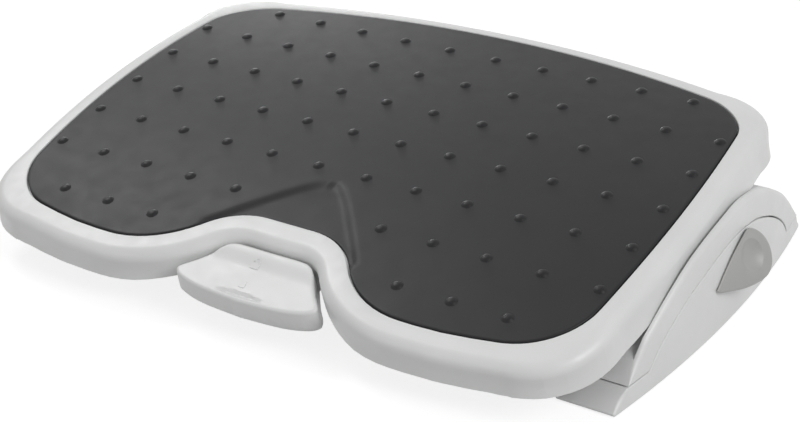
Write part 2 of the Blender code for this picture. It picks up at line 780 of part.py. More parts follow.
def knob_face(a, b):
    """How far the knob's sloping face stands out from its base."""
    rise = (a - KNOB_EDGE[0]) * KNOB_RISE[0] + (b - KNOB_EDGE[1]) * KNOB_RISE[1]
    return KNOB_THIN + KNOB_SLOPE * max(0.0, rise)


def knob(name, side, parent):
    """A round knob with a pointed lever, on a face that slopes and is dished at the bolt."""
    base = LEG_OUTER + TOUCH
    outline = smooth(KNOB_OUTLINE + KNOB_OUTLINE[:1], 2)[:-1]
    rings = []
    for grow, share, drop in ((0.2, 0.0, 0.0), (0.4, 0.25, 0.0), (-0.2, 0.8, 0.4), (-0.9, 1.0, 0.3), (-1.8, 1.0, 0.0)):
        rings.append([(base + knob_face(a, b) * share - drop * share, c, d)
                      for (a, b), (c, d) in zip(outline, offset(outline, grow))])

    def placed(x, y, z):
        return Vector((x * MM, y * MM, z * MM))

    made = part(name, sided(loft(rings, placed), side), knob_plastic(), parent)
    facing = Vector((1.0, -KNOB_SLOPE * KNOB_RISE[0], -KNOB_SLOPE * KNOB_RISE[1])).normalized()
    dish = (DIMPLE_RADIUS ** 2 + DIMPLE_DEPTH ** 2) / (2 * DIMPLE_DEPTH)
    middle = Vector((base + knob_face(0.0, 0.0), 0.0, 0.0)) + facing * (dish - DIMPLE_DEPTH)
    ball = bmesh.new()
    bmesh.ops.create_uvsphere(ball, u_segments=72, v_segments=48, radius=dish * MM)
    bmesh.ops.translate(ball, verts=ball.verts, vec=middle * MM)
    mesh = bpy.data.meshes.new("dimple")
    ball.to_mesh(mesh)
    ball.free()
    cut(made, sided(mesh, side), "dimple")
    socket = rod(base - PAST, base + BOLT_END + TOUCH, BOLT_RADIUS + TOUCH)
    cut(made, sided(socket, side), "socket")
    return made


def knob_bolt(name, side, parent):
    mesh = rod(NUT_IN - 2, LEG_OUTER + TOUCH + BOLT_END, BOLT_RADIUS, chamfer=0.5)
    return part(name, sided(mesh, side), steel(), parent)


def square_round_bolt(half, low, high, radius=0.0):
    """A square outline round the clamp bolt, from the lowest to the highest bolt height."""
    return rounded([(KNOB_Y - half, low - half, radius), (KNOB_Y + half, low - half, radius),
                    (KNOB_Y + half, high + half, radius), (KNOB_Y - half, high + half, radius)], 45)


def clamp_nut(name, side):
    square = square_round_bolt(NUT_SIDE / 2, KNOB_HEIGHT, KNOB_HEIGHT, 1.5)
    bore = circle(KNOB_Y, KNOB_HEIGHT, BOLT_RADIUS + TOUCH)
    mesh = prism([square, bore], NUT_IN, NUT_IN + NUT_THICKNESS)
    return part(name, sided(mesh, side), steel())


# Cross tubes and pads

def cross_tube(name, y):
    half = LEG_INNER + TUBE_SOCKET - TOUCH
    rings = [circle(y, TUBE_HEIGHT, TUBE_RADIUS), circle(y, TUBE_HEIGHT, TUBE_RADIUS - TUBE_WALL)]
    return part(name, prism(rings, -half, half), steel())


def foot_pad(name, side, x, y):
    mesh = prism([pad_outline(x, y)], 0.0, PAD_THICKNESS, "Z")
    return part(name, sided(mesh, side), rubber())


# Shaft and its bearings

def tilt_shaft(parent):
    return part("tilt_shaft", rod(-SHAFT_HALF, SHAFT_HALF, SHAFT_RADIUS, chamfer=0.6), steel(), parent)


def lock_quadrant(parent):
    """A sector with teeth that face the pawl, on a hub round the shaft."""
    points = []
    for tooth in range(QUADRANT_TEETH):
        for share, radius in ((0.0, -TOOTH_DEPTH), (0.25, 0.0), (0.5, 0.0), (0.75, -TOOTH_DEPTH)):
            angle = math.pi - QUADRANT_SPREAD + 2 * QUADRANT_SPREAD * (tooth + share) / QUADRANT_TEETH
            reach = QUADRANT_RADIUS + radius
            points.append((reach * math.cos(angle), reach * math.sin(angle)))
    edge = math.pi + QUADRANT_SPREAD
    back = []
    for step in range(19):
        angle = edge + (math.tau - 2 * QUADRANT_SPREAD) * step / 18
        back.append((QUADRANT_HUB * math.cos(angle), QUADRANT_HUB * math.sin(angle)))
    bore = circle(0.0, 0.0, SHAFT_RADIUS + TOUCH)
    return part("lock_quadrant", prism([points + back, bore], -PLATE / 2, PLATE / 2), steel(), parent)


def pivot_block(name, side, parent):
    """A bearing block: a hub that hangs from a foot under the platform's floor."""
    half = BLOCK_FOOT_HALF
    foot_low = underside(half) - BLOCK_FOOT
    hub = BLOCK_HUB
    outline = rounded([(half, underside(half), 0), (-half, underside(-half), 0), (-half, foot_low, 0.8),
                       (-hub - 1, foot_low, 3), (-hub, -hub, hub * 0.9), (hub, -hub, hub * 0.9),
                       (hub + 1, foot_low, 3), (half, foot_low, 0.8)])
    top = [(y, underside(y)) for y in (half / 2, 0.0, -half / 2)]
    outline = outline[:1] + top + outline[1:]
    bore = circle(0.0, 0.0, BUSH_RADIUS + TOUCH)
    return part(name, sided(prism([outline, bore], BLOCK_IN, BLOCK_OUT), side), grey_plastic(), parent)


def shaft_bush(name, side, parent):
    low = BLOCK_IN - TOUCH
    bore = SHAFT_RADIUS + BUSH_FIT
    profile = [(low - BUSH_FLANGE, bore), (low - BUSH_FLANGE, BUSH_RADIUS + 2), (low, BUSH_RADIUS + 2),
               (low, BUSH_RADIUS), (BLOCK_OUT, BUSH_RADIUS), (BLOCK_OUT, bore)]
    return part(name, sided(turned(profile), side), nylon(), parent)


# Tilt lock

def mechanism_bracket(parent):
    """A folded channel: two cheeks that carry the pins, under a web that follows the crown."""
    top = []
    for step in range(7):
        y = BRACKET_FRONT + (BRACKET_REAR - BRACKET_FRONT) * step / 6
        top.append((y, underside(y) - TOUCH))
    low = PEDAL_PIN_Z - CHEEK_DROP
    cheek = rounded([(BRACKET_FRONT, top[0][1], 0), (PEDAL_PIN_Y - CHEEK_MARGIN, low, CHEEK_CORNER),
                     (PEDAL_PIN_Y + CHEEK_MARGIN, low, CHEEK_CORNER),
                     (PEDAL_PIN_Y + CHEEK_MARGIN + CHEEK_SLOPE, CHEEK_LOW, 2 * CHEEK_CORNER),
                     (PAWL_PIN_Y + CHEEK_MARGIN, CHEEK_LOW, CHEEK_CORNER), (BRACKET_REAR, top[-1][1], 0)], 25.0)
    cheek += list(reversed(top))[1:-1]
    holes = [circle(PEDAL_PIN_Y, PEDAL_PIN_Z, PIN_RADIUS + TOUCH, 16),
             circle(PAWL_PIN_Y, PAWL_PIN_Z, PIN_RADIUS + TOUCH, 16)]
    mesh = prism([cheek] + holes, BRACKET_HALF - BRACKET_SHEET, BRACKET_HALF)
    made = part("mechanism_bracket", mesh, steel(), parent)
    joined(made, mirrored(mesh), "left_cheek")
    web = top + [(y, z - BRACKET_SHEET) for y, z in reversed(top)]
    joined(made, prism([web], -BRACKET_HALF + 0.2, BRACKET_HALF - 0.2), "web")
    return made


def pin(name, y, z, parent):
    half = BRACKET_HALF + 3
    return part(name, rod(-half, half, PIN_RADIUS, y, z, 16, 0.5), steel(), parent)


def lock_pawl(parent):
    """A hanging pawl whose tooth meets the quadrant, with a stud for the rod."""
    reach = -QUADRANT_RADIUS - TOUCH
    y, z = 0.0, 0.0
    tip = reach - PAWL_PIN_Y
    low = -PAWL_PIN_Z
    outline = rounded([(y - 6, z + 6, 5), (y - 6, low - 3, 3), (tip - 1.5, low - 1.0, 0), (tip, low, 0),
                       (tip - 1.5, low + 1.0, 0), (y + 5, z - 6, 3), (y + 6, z + 6, 5)], 20)
    outline = list(reversed(outline))
    mesh = prism([outline, circle(y, z, PIN_RADIUS + TOUCH, 16)], -PLATE / 2, PLATE / 2)
    made = part("lock_pawl", mesh, steel(), parent)
    stud = rod(0.0, PLATE / 2 + 2 * TOUCH + ROD_THICKNESS + 1, STUD_RADIUS, y, z - PAWL_ARM, 16)
    joined(made, stud, "stud")
    return made


def lock_rod(parent):
    start = (PEDAL_PIN_Y, PEDAL_PIN_Z + PEDAL_LEVER)
    end = (PAWL_PIN_Y, PAWL_PIN_Z - PAWL_ARM)
    bar = capsule(start, end, ROD_WIDTH / 2)
    holes = [circle(*start, STUD_RADIUS + TOUCH, 16), circle(*end, STUD_RADIUS + TOUCH, 16)]
    low = PLATE / 2 + TOUCH
    return part("lock_rod", prism([bar] + holes, low, low + ROD_THICKNESS), steel(), parent)


def pedal_outline():
    """Half of the pedal from above, from its front middle to its back middle, and its mirror."""
    wide = PEDAL_HALF_WIDTH
    front = [(wide * PEDAL_FLAT, PEDAL_FRONT + PEDAL_FRONT_BOW)]
    front += [(wide - inward, PEDAL_FRONT + back) for inward, back in PEDAL_CORNER]
    ridge = [(RIDGE_HALF_WIDTH - inward, PEDAL_BACK - ahead) for inward, ahead in RIDGE_CORNER]
    half = smooth([(0.0, PEDAL_FRONT)] + front + ridge + [(0.0, PEDAL_BACK)], 2)
    return half + [(-x, s) for x, s in reversed(half[1:-1])]


def foot_pedal(parent):
    """A pad with a raised ridge at its back, on two arms that turn on the pedal pin."""
    pad = pedal_outline()
    edge = PEDAL_EDGE
    top = -PEDAL_PAD_DROP
    low = top - PEDAL_THICKNESS
    crest = -PEDAL_RIDGE_DROP

    def placed(x, s, h):
        return on_crown(x, s, h) - Vector((0.0, PEDAL_PIN_Y * MM, PEDAL_PIN_Z * MM))

    def rounded_top(outline, height):
        return [level(offset(outline, -0.8), height - edge), level(offset(outline, -1.6), height - edge * 0.35),
                level(offset(outline, -0.8 - edge), height)]

    rings = [level(offset(pad, -edge), low), level(offset(pad, 0.5), low + edge)] + rounded_top(pad, top)
    made = part("foot_pedal", loft(rings, placed), grey_plastic(), parent)
    slope = []
    for s, h in ((RIDGE_FOOT, top - 1), (RIDGE_FOOT + 2, top + 0.1), (RIDGE_CREST - 2, crest - 0.4),
                 (RIDGE_CREST + 1, crest + 0.5), (PEDAL_BACK + 2, crest + 2), (PEDAL_BACK + 2, top - 5),
                 (RIDGE_FOOT + 3, top - 5)):
        point = placed(0.0, s, h) / MM
        slope.append((point.y, point.z))
    ridge = joined(made, prism([slope], -RIDGE_HALF_WIDTH, RIDGE_HALF_WIDTH), "ridge")
    shape = offset(pad, -0.25)
    block = [level(offset(shape, -0.8), top - 6)] + rounded_top(shape, crest)
    boolean(ridge, loft(block, placed), "INTERSECT", "foot_pedal_ridge_block")
    door_top = on_crown(0.0, MAT_NEAR + NOTCH_DEPTH - RIM_NOTCH, -SKIRT_DOOR).z / MM - RUNNING - PEDAL_PIN_Z
    arm = [(-62.0, door_top + 1), (-62.0, -1.0), (-50.0, -5.0), (0.0, -5.0), (3.0, 0.0),
           (0.0, 5.0), (-16.0, door_top), (-30.0, door_top), (-30.0, door_top + 1)]
    for side in (1, -1):
        plate = prism([arm], PEDAL_ARM_HALF - PEDAL_ARM, PEDAL_ARM_HALF)
        joined(made, sided(plate, side), "arm_" + ("right" if side > 0 else "left"))
    joined(made, rod(-PEDAL_ARM_HALF - 0.4, PEDAL_ARM_HALF + 0.4, PEDAL_HUB), "hub")
    lever = capsule((0.0, 0.0), (0.0, PEDAL_LEVER), 4.0)
    joined(made, prism([lever], -PLATE / 2, PLATE / 2), "lever")
    reach = PLATE / 2 + 2 * TOUCH + ROD_THICKNESS + 1
    joined(made, rod(0.0, reach, STUD_RADIUS, 0.0, PEDAL_LEVER, 16), "stud")
    cut(made, rod(-PEDAL_ARM_HALF - 5, PEDAL_ARM_HALF + 5, PIN_RADIUS + TOUCH, 0.0, 0.0, 16), "bore")
    return made


def underside_pan(parent):
    """A shallow open box under the lock, with a doorway for the pedal's arms."""
    def plan(grow):
        wide = PAN_HALF_WIDTH + grow
        radius = PAN_CORNER + grow
        return rounded([(-wide, PAN_FRONT - grow, radius), (wide, PAN_FRONT - grow, radius),
                        (wide, PAN_REAR + grow, radius), (-wide, PAN_REAR + grow, radius)], 18)

    top = [(x, y, underside(y, 2 * TOUCH)) for x, y in plan(0.0)]
    inner_top = [(x, y, underside(y, 2 * TOUCH)) for x, y in plan(-PAN_WALL)]
    rings = [[(x, y, PAN_BOTTOM + PAN_WALL) for x, y in plan(-PAN_WALL - 2)],
             [(x, y, PAN_BOTTOM + PAN_WALL + 2) for x, y in plan(-PAN_WALL)],
             inner_top, top,
             [(x, y, PAN_BOTTOM + 3) for x, y in plan(0.0)],
             [(x, y, PAN_BOTTOM) for x, y in plan(-3.0)]]

    def placed(x, y, z):
        return Vector((x * MM, y * MM, z * MM))

    made = part("underside_pan", loft(rings, placed), grey_plastic(), parent)
    for label, y, low in (("front", PAN_FRONT, PAN_BOTTOM + 3), ("rear", PAN_REAR, PAWL_DOOR_LOW)):
        high = PIVOT_HEIGHT
        door = [(y - CHEEK_MARGIN, low), (y + CHEEK_MARGIN, low), (y + CHEEK_MARGIN, high), (y - CHEEK_MARGIN, high)]
        cut(made, prism([door], -PAN_DOOR_HALF, PAN_DOOR_HALF), label + "_doorway")
    return made


def build():
    clear_scene()
    pivot = empty("tilt_axis", PIVOT_Y, PIVOT_HEIGHT, REST_TILT)
    platform_frame(pivot)
    foot_mat(pivot)
    underside_pan(pivot)
    mechanism_bracket(pivot)
    pin("pedal_pin", PEDAL_PIN_Y, PEDAL_PIN_Z, pivot)
    pin("pawl_pin", PAWL_PIN_Y, PAWL_PIN_Z, pivot)
    lock_rod(pivot)
    hinge = empty("pedal_axis", PEDAL_PIN_Y, PEDAL_PIN_Z)
    hinge.parent = pivot
    foot_pedal(hinge)
    pawl_hinge = empty("pawl_axis", PAWL_PIN_Y, PAWL_PIN_Z)
    pawl_hinge.parent = pivot
    lock_pawl(pawl_hinge)
    shaft = empty("shaft_axis", PIVOT_Y, PIVOT_HEIGHT)
    tilt_shaft(shaft)
    tilted = empty("quadrant_axis", PIVOT_Y, PIVOT_HEIGHT, REST_TILT)
    lock_quadrant(tilted)
    knob_axis = empty("knob_axis", KNOB_Y, KNOB_HEIGHT)
    for side, label in ((1, "right"), (-1, "left")):
        leg(label + "_leg", side)
        hood(label + "_hood", side)
        knob(label + "_knob", side, knob_axis)
        knob_bolt(label + "_knob_bolt", side, knob_axis)
        clamp_nut(label + "_clamp_nut", side)
        pivot_block(label + "_pivot_block", side, pivot)
        shaft_bush(label + "_shaft_bush", side, pivot)
        foot_pad(label + "_front_pad", side, FRONT_PAD_X, FRONT_PAD_Y)
        foot_pad(label + "_rear_pad", side, REAR_PAD_X, REAR_PAD_Y)
    cross_tube("front_cross_tube", FRONT_TUBE_Y)
    cross_tube("rear_cross_tube", REAR_TUBE_Y)


build()
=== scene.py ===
import json
import math

import bmesh
import bpy
from mathutils import Matrix, Vector


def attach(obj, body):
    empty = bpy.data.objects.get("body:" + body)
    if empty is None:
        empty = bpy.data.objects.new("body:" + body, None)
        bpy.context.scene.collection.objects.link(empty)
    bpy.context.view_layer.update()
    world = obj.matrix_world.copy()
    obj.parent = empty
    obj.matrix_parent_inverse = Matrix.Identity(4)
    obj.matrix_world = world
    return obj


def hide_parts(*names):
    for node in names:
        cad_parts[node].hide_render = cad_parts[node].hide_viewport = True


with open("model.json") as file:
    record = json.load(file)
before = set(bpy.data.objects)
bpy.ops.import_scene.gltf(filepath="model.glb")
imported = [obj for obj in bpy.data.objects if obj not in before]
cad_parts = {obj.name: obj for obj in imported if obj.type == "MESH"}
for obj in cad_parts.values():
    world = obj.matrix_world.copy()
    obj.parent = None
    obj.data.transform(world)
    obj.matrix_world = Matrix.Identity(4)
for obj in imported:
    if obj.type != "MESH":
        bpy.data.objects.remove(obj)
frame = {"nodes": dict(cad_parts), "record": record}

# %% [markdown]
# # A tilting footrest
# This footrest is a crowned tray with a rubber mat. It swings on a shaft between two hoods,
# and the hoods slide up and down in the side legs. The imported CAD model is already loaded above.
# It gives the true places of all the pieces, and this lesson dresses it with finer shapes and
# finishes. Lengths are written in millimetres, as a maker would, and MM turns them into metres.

MM = 0.001
scene = bpy.context.scene
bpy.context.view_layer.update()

# %% [markdown]
# ## The camera
# The photograph looks at the footrest from the front right and from a little above. Its lens was
# found from the grid of dots on the mat: parallel rows come closer together with distance, and
# how fast they do so gives the focal length and the place of the camera.

# %% Camera
CAMERA_PLACE = (652.0, -982.2, 553.1)
CAMERA_AIM = (-0.5027, 0.7618, -0.4086)
LENS = 80.33
SENSOR = 36.0


def make_camera():
    data = bpy.data.cameras.new("camera")
    data.lens = LENS
    data.sensor_width = SENSOR
    made = bpy.data.objects.new("camera", data)
    scene.collection.objects.link(made)
    made.location = Vector(CAMERA_PLACE) * MM
    made.rotation_euler = Vector(CAMERA_AIM).to_track_quat("-Z", "Y").to_euler()
    return made


scene.camera = make_camera()
print("camera looks along", CAMERA_AIM, "with a lens of", LENS, "mm")

# %% [markdown]
# ## Colours and nodes
# A colour seen on a screen is stored as an sRGB hex value, but light adds up in linear values,
# so each hex value is turned to linear once. Every node of a material is added by one function,
# which also sets its values and draws its links.

# %% Colour and node helpers
def linear(hex_value):
    """A linear colour from an sRGB hex value such as 'E0E0E0'."""
    made = []
    for start in (0, 2, 4):
        value = int(hex_value[start:start + 2], 16) / 255
        made.append(value / 12.92 if value <= 0.04045 else ((value + 0.055) / 1.055) ** 2.4)
    return (*made, 1.0)


def add(tree, kind, values=None, links=None, **settings):
    """A node with its settings, its socket values, and links into its sockets."""
    node = tree.nodes.new(kind)
    for name, value in settings.items():
        setattr(node, name, value)
    for name, value in (values or {}).items():
        node.inputs[name].default_value = value
    for name, source in (links or {}).items():
        tree.links.new(source, node.inputs[name])
    return node


def grain_scale(millimetres):
    """The scale of a noise whose grains are this far apart."""
    return 1.0 / (millimetres * MM)


def new_material(name):
    made = bpy.data.materials.new(name)
    made.use_nodes = True
    made.node_tree.nodes.clear()
    return made, made.node_tree


def blotches(tree, place, size, dark, light):
    """A colour that drifts between two hex tones over patches of this size."""
    noise = add(tree, "ShaderNodeTexNoise", {"Scale": grain_scale(size), "Detail": 3.0}, {"Vector": place})
    span = add(tree, "ShaderNodeMapRange", {"From Min": 0.35, "From Max": 0.65}, {"Value": noise.outputs["Fac"]})
    mix = add(tree, "ShaderNodeMix", {}, {"Factor": span.outputs["Result"]}, data_type="RGBA")
    mix.inputs["A"].default_value = linear(dark)
    mix.inputs["B"].default_value = linear(light)
    return mix.outputs["Result"]


def rough_between(tree, place, size, low, high):
    """A roughness that drifts between two values over patches of this size."""
    noise = add(tree, "ShaderNodeTexNoise", {"Scale": grain_scale(size), "Detail": 2.0}, {"Vector": place})
    span = add(tree, "ShaderNodeMapRange", {"From Min": 0.3, "From Max": 0.7, "To Min": low, "To Max": high},
               {"Value": noise.outputs["Fac"]})
    return span.outputs["Result"]


print("white is", linear("FFFFFF"))

# %% [markdown]
# ## Moulded ABS
# The tray, legs, hoods and pedal are injection-moulded ABS in a light neutral grey. The steel mould
# is spark-eroded, which leaves a fine even grain that breaks up reflections, so the plastic looks
# satin and its highlights are wide and soft. The real grain is about 0.1 mm and would not show,
# so it is drawn 0.8 mm apart. Thick and thin places cool at different speeds, which gives the
# colour a faint drift.

# %% ABS materials
ABS_GRAIN = 0.8
ABS_GRAIN_HEIGHT = 0.012
ABS_TONE_PATCH = 60.0
ABS_SHINE_PATCH = 9.0
ABS_IOR = 1.53


def moulded_abs(name, dark, light, smoothest, roughest):
    made, tree = new_material(name)
    place = add(tree, "ShaderNodeTexCoord").outputs["Object"]
    grain = add(tree, "ShaderNodeTexNoise", {"Scale": grain_scale(ABS_GRAIN), "Detail": 1.0}, {"Vector": place})
    bump = add(tree, "ShaderNodeBump", {"Strength": 0.35, "Distance": ABS_GRAIN_HEIGHT * MM},
               {"Height": grain.outputs["Fac"]})
    shader = add(tree, "ShaderNodeBsdfPrincipled", {"IOR": ABS_IOR},
                 {"Base Color": blotches(tree, place, ABS_TONE_PATCH, dark, light),
                  "Roughness": rough_between(tree, place, ABS_SHINE_PATCH, smoothest, roughest),
                  "Normal": bump.outputs["Normal"]})
    add(tree, "ShaderNodeOutputMaterial", {}, {"Surface": shader.outputs["BSDF"]})
    return made


light_abs = moulded_abs("moulded_light_grey_abs", "D9DAD9", "DEDFDE", 0.36, 0.44)
knob_abs = moulded_abs("moulded_mid_grey_abs", "A3A3A1", "A8A8A6", 0.38, 0.46)
print("made", light_abs.name, "and", knob_abs.name)

# %% [markdown]
# ## Rubber
# The mat is compression-moulded rubber, filled with carbon black and a little chalk, so it is a
# dark grey and not black. Its skin is matt with a fine leathery grain, and shows a pale sheen only
# where the light grazes it. The pads under the legs are the same rubber with a plain skin.

# %% Rubber materials
RUBBER_GRAIN = 1.3
RUBBER_TONE_PATCH = 45.0
RUBBER_SHINE_PATCH = 14.0
RUBBER_IOR = 1.52
RUBBER_GLINT = 0.22  # under the usual 0.5, because the pits of the grain swallow part of the glint


def moulded_rubber(name, dark, light, smoothest, roughest, grain_height):
    made, tree = new_material(name)
    place = add(tree, "ShaderNodeTexCoord").outputs["Object"]
    grain = add(tree, "ShaderNodeTexVoronoi", {"Scale": grain_scale(RUBBER_GRAIN), "Randomness": 1.0},
                {"Vector": place}, feature="SMOOTH_F1")
    bump = add(tree, "ShaderNodeBump", {"Strength": 0.4, "Distance": grain_height * MM},
               {"Height": grain.outputs["Distance"]})
    shader = add(tree, "ShaderNodeBsdfPrincipled", {"IOR": RUBBER_IOR, "Specular IOR Level": RUBBER_GLINT},
                 {"Base Color": blotches(tree, place, RUBBER_TONE_PATCH, dark, light),
                  "Roughness": rough_between(tree, place, RUBBER_SHINE_PATCH, smoothest, roughest),
                  "Normal": bump.outputs["Normal"]})
    add(tree, "ShaderNodeOutputMaterial", {}, {"Surface": shader.outputs["BSDF"]})
    return made


mat_rubber = moulded_rubber("moulded_rubber_mat", "19191B", "1D1D1F", 0.4, 0.46, 0.05)
pad_rubber = moulded_rubber("plain_rubber", "1F1F20", "262627", 0.6, 0.7, 0.03)
print("made", mat_rubber.name, "and", pad_rubber.name)

# %% [markdown]
# ## Zinc-plated steel and nylon
# The shaft, tubes, bolts and lock are mild steel with a bright zinc plating. Plating follows the
# rolled surface under it, so its shine is a little uneven and slightly blue. The bushes are
# nylon, a milky white plastic that light enters for a millimetre or so.

# %% Steel and nylon materials
STEEL_TONE_PATCH = 12.0
STEEL_SHINE_PATCH = 5.0
NYLON_TONE_PATCH = 8.0
NYLON_SHINE_PATCH = 3.0
NYLON_IOR = 1.53
NYLON_DEPTH = 1.5  # how far light travels inside it


def zinc_plated_steel(name):
    made, tree = new_material(name)
    place = add(tree, "ShaderNodeTexCoord").outputs["Object"]
    shader = add(tree, "ShaderNodeBsdfPrincipled", {"Metallic": 1.0},
                 {"Base Color": blotches(tree, place, STEEL_TONE_PATCH, "B4B8BC", "CDD0D2"),
                  "Roughness": rough_between(tree, place, STEEL_SHINE_PATCH, 0.26, 0.42)})
    add(tree, "ShaderNodeOutputMaterial", {}, {"Surface": shader.outputs["BSDF"]})
    return made


def milky_nylon(name):
    made, tree = new_material(name)
    place = add(tree, "ShaderNodeTexCoord").outputs["Object"]
    shader = add(tree, "ShaderNodeBsdfPrincipled",
                 {"IOR": NYLON_IOR, "Subsurface Weight": 0.3, "Subsurface Scale": NYLON_DEPTH * MM},
                 {"Base Color": blotches(tree, place, NYLON_TONE_PATCH, "E9E7DD", "F0EEE6"),
                  "Roughness": rough_between(tree, place, NYLON_SHINE_PATCH, 0.4, 0.5)})
    add(tree, "ShaderNodeOutputMaterial", {}, {"Surface": shader.outputs["BSDF"]})
    return made


steel = zinc_plated_steel("zinc_plated_steel_skin")
nylon = milky_nylon("milky_nylon")
print("made", steel.name, "and", nylon.name)

# %% [markdown]
# ## Outlines
# Most pieces start as a flat outline, a closed list of points that runs counter-clockwise. It can
# be rounded at its corners, made finer, or moved outwards by a distance, and a row of such
# outlines joined into a loft gives a solid with soft edges.

# %% Outline helpers
def share_of(value):
    """The value held between 0 and 1."""
    return max(0.0, min(1.0, value))


def eased(value):
    """A share that starts and ends gently."""
    value = share_of(value)
    return value * value * (3 - 2 * value)


def rounded(corners, turn=6.0):
    """An outline from (a, b, radius) corners, with an arc in each that has a radius."""
    points = []
    count = len(corners)
    for index, (a, b, radius) in enumerate(corners):
        here = Vector((a, b))
        if radius <= 0:
            points.append((a, b))
            continue
        back = (Vector(corners[index - 1][:2]) - here).normalized()
        ahead = (Vector(corners[(index + 1) % count][:2]) - here).normalized()
        half = math.acos(max(-1.0, min(1.0, back.dot(ahead)))) / 2
        centre = here + (back + ahead).normalized() * (radius / math.sin(half))
        start = here + back * (radius / math.tan(half)) - centre
        sweep = math.pi - 2 * half
        if back.x * ahead.y - back.y * ahead.x > 0:
            sweep = -sweep
        steps = max(2, math.ceil(math.degrees(abs(sweep)) / turn))
        for step in range(steps + 1):
            points.append(tuple(centre + Matrix.Rotation(sweep * step / steps, 2) @ start))
    return points


def finer(points, longest):
    """The same closed outline with no side over this length."""
    made = []
    for here, ahead in zip(points, points[1:] + points[:1]):
        parts = max(1, math.ceil(math.dist(here, ahead) / longest))
        for part in range(parts):
            made.append(tuple(Vector(here).lerp(Vector(ahead), part / parts)))
    return made


def smooth(points, steps=8):
    """A smooth open line through the points."""
    ends = [points[0]] + list(points) + [points[-1]]
    made = []
    for p0, p1, p2, p3 in zip(ends, ends[1:], ends[2:], ends[3:]):
        for step in range(steps):
            t = step / steps
            made.append(tuple(
                0.5 * (2 * b + (c - a) * t + (2 * a - 5 * b + 4 * c - d) * t ** 2
                       + (3 * b - a - 3 * c + d) * t ** 3)
                for a, b, c, d in zip(p0, p1, p2, p3)))
    return made + [tuple(points[-1])]


def outward(points, distance, closed=True):
    """The line moved to its right by a distance, or by one distance for each point."""
    count = len(points)
    made = []
    for index, here in enumerate(points):
        back = points[index - 1] if closed or index else here
        ahead = points[(index + 1) % count] if closed or index < count - 1 else here
        along = (Vector(ahead) - Vector(back)).normalized()
        step = distance[index] if isinstance(distance, list) else distance
        made.append((here[0] + along.y * step, here[1] - along.x * step))
    return made


def capsule(start, end, radius, count=12):
    """A strip with round ends between two points."""
    along = Vector(end) - Vector(start)
    heading = math.atan2(along.y, along.x)
    made = []
    for middle, turn in ((end, -math.pi / 2), (start, math.pi / 2)):
        for step in range(count + 1):
            angle = heading + turn + math.pi * step / count
            made.append((middle[0] + radius * math.cos(angle), middle[1] + radius * math.sin(angle)))
    return made


def quarter_turn(step=15):
    """The angles of a rounded edge, in radians."""
    return [math.radians(angle) for angle in range(0, 91, step)]


def box_outline(low_a, low_b, high_a, high_b):
    return [(low_a, low_b), (high_a, low_b), (high_a, high_b), (low_a, high_b)]


def circle(a, b, radius, count=32):
    return [(a + radius * math.cos(math.tau * step / count), b + radius * math.sin(math.tau * step / count))
            for step in range(count)]


print("a circle has", len(circle(0, 0, 1)), "points, and a rounded edge", len(quarter_turn()), "steps")

# %% [markdown]
# ## Solids
# A loft joins a row of outlines into one closed skin. It is made flat first, cut into narrow
# strips where it will have to bend, and only then put in place by a function, which may bend it
# over the crown of the tray or along the bow of a leg. Edges that turn sharply keep a crease and
# all others are shaded smooth.

# %% Solid helpers
CREASE = math.radians(32)
MERGE = 0.01
CUT_TOLERANCE = 0.0001
pieces = bpy.data.collections.new("dressed_footrest")
scene.collection.children.link(pieces)


def plain(x, y, z):
    return Vector((x, y, z)) * MM


def loft(work, rings):
    """Joins rings with as many points each into one closed skin, inside this mesh."""
    rows = [[work.verts.new(point) for point in ring] for ring in rings]
    count = len(rows[0])
    for low, high in zip(rows, rows[1:]):
        for index in range(count):
            after = (index + 1) % count
            work.faces.new((low[index], low[after], high[after], high[index]))
    work.faces.new(list(reversed(rows[0])))
    work.faces.new(rows[-1])


def skin(rings, placed=plain, cuts=(), columns=()):
    """A closed solid through rings of (x, y, z), cut across and along, then put in place."""
    work = bmesh.new()
    loft(work, rings)
    for places, across in ((cuts, (0, 1, 0)), (columns, (1, 0, 0))):
        for place in places:
            whole = work.verts[:] + work.edges[:] + work.faces[:]
            bmesh.ops.bisect_plane(work, geom=whole, dist=CUT_TOLERANCE, plane_co=Vector(across) * place,
                                   plane_no=across)
    for vert in work.verts:
        vert.co = placed(*vert.co)
    return work


def slab(outline, low, high, placed):
    """A flat plate with this outline, between two depths."""
    return skin([[(a, b, low) for a, b in outline], [(a, b, high) for a, b in outline]], placed)


def sideways(x, y, z):
    """Puts an outline of (y, z) points across the X axis."""
    return Vector((z, x, y)) * MM


def finish_mesh(work):
    """Splits large faces, turns all of them outwards and shades all but sharp edges smooth."""
    bmesh.ops.triangulate(work, faces=[face for face in work.faces if len(face.verts) > 4])
    bmesh.ops.recalc_face_normals(work, faces=work.faces)
    for face in work.faces:
        face.smooth = True
    for edge in work.edges:
        edge.smooth = edge.calc_face_angle(0.0) < CREASE


def make(name, work, look, body, replaced=()):
    """A piece of the footrest from its mesh, in its material, riding on a CAD body."""
    finish_mesh(work)
    mesh = bpy.data.meshes.new(name)
    work.to_mesh(mesh)
    work.free()
    made = bpy.data.objects.new(name, mesh)
    pieces.objects.link(made)
    made.data.materials.append(look)
    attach(made, body)
    if replaced:
        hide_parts(*replaced)
    return made


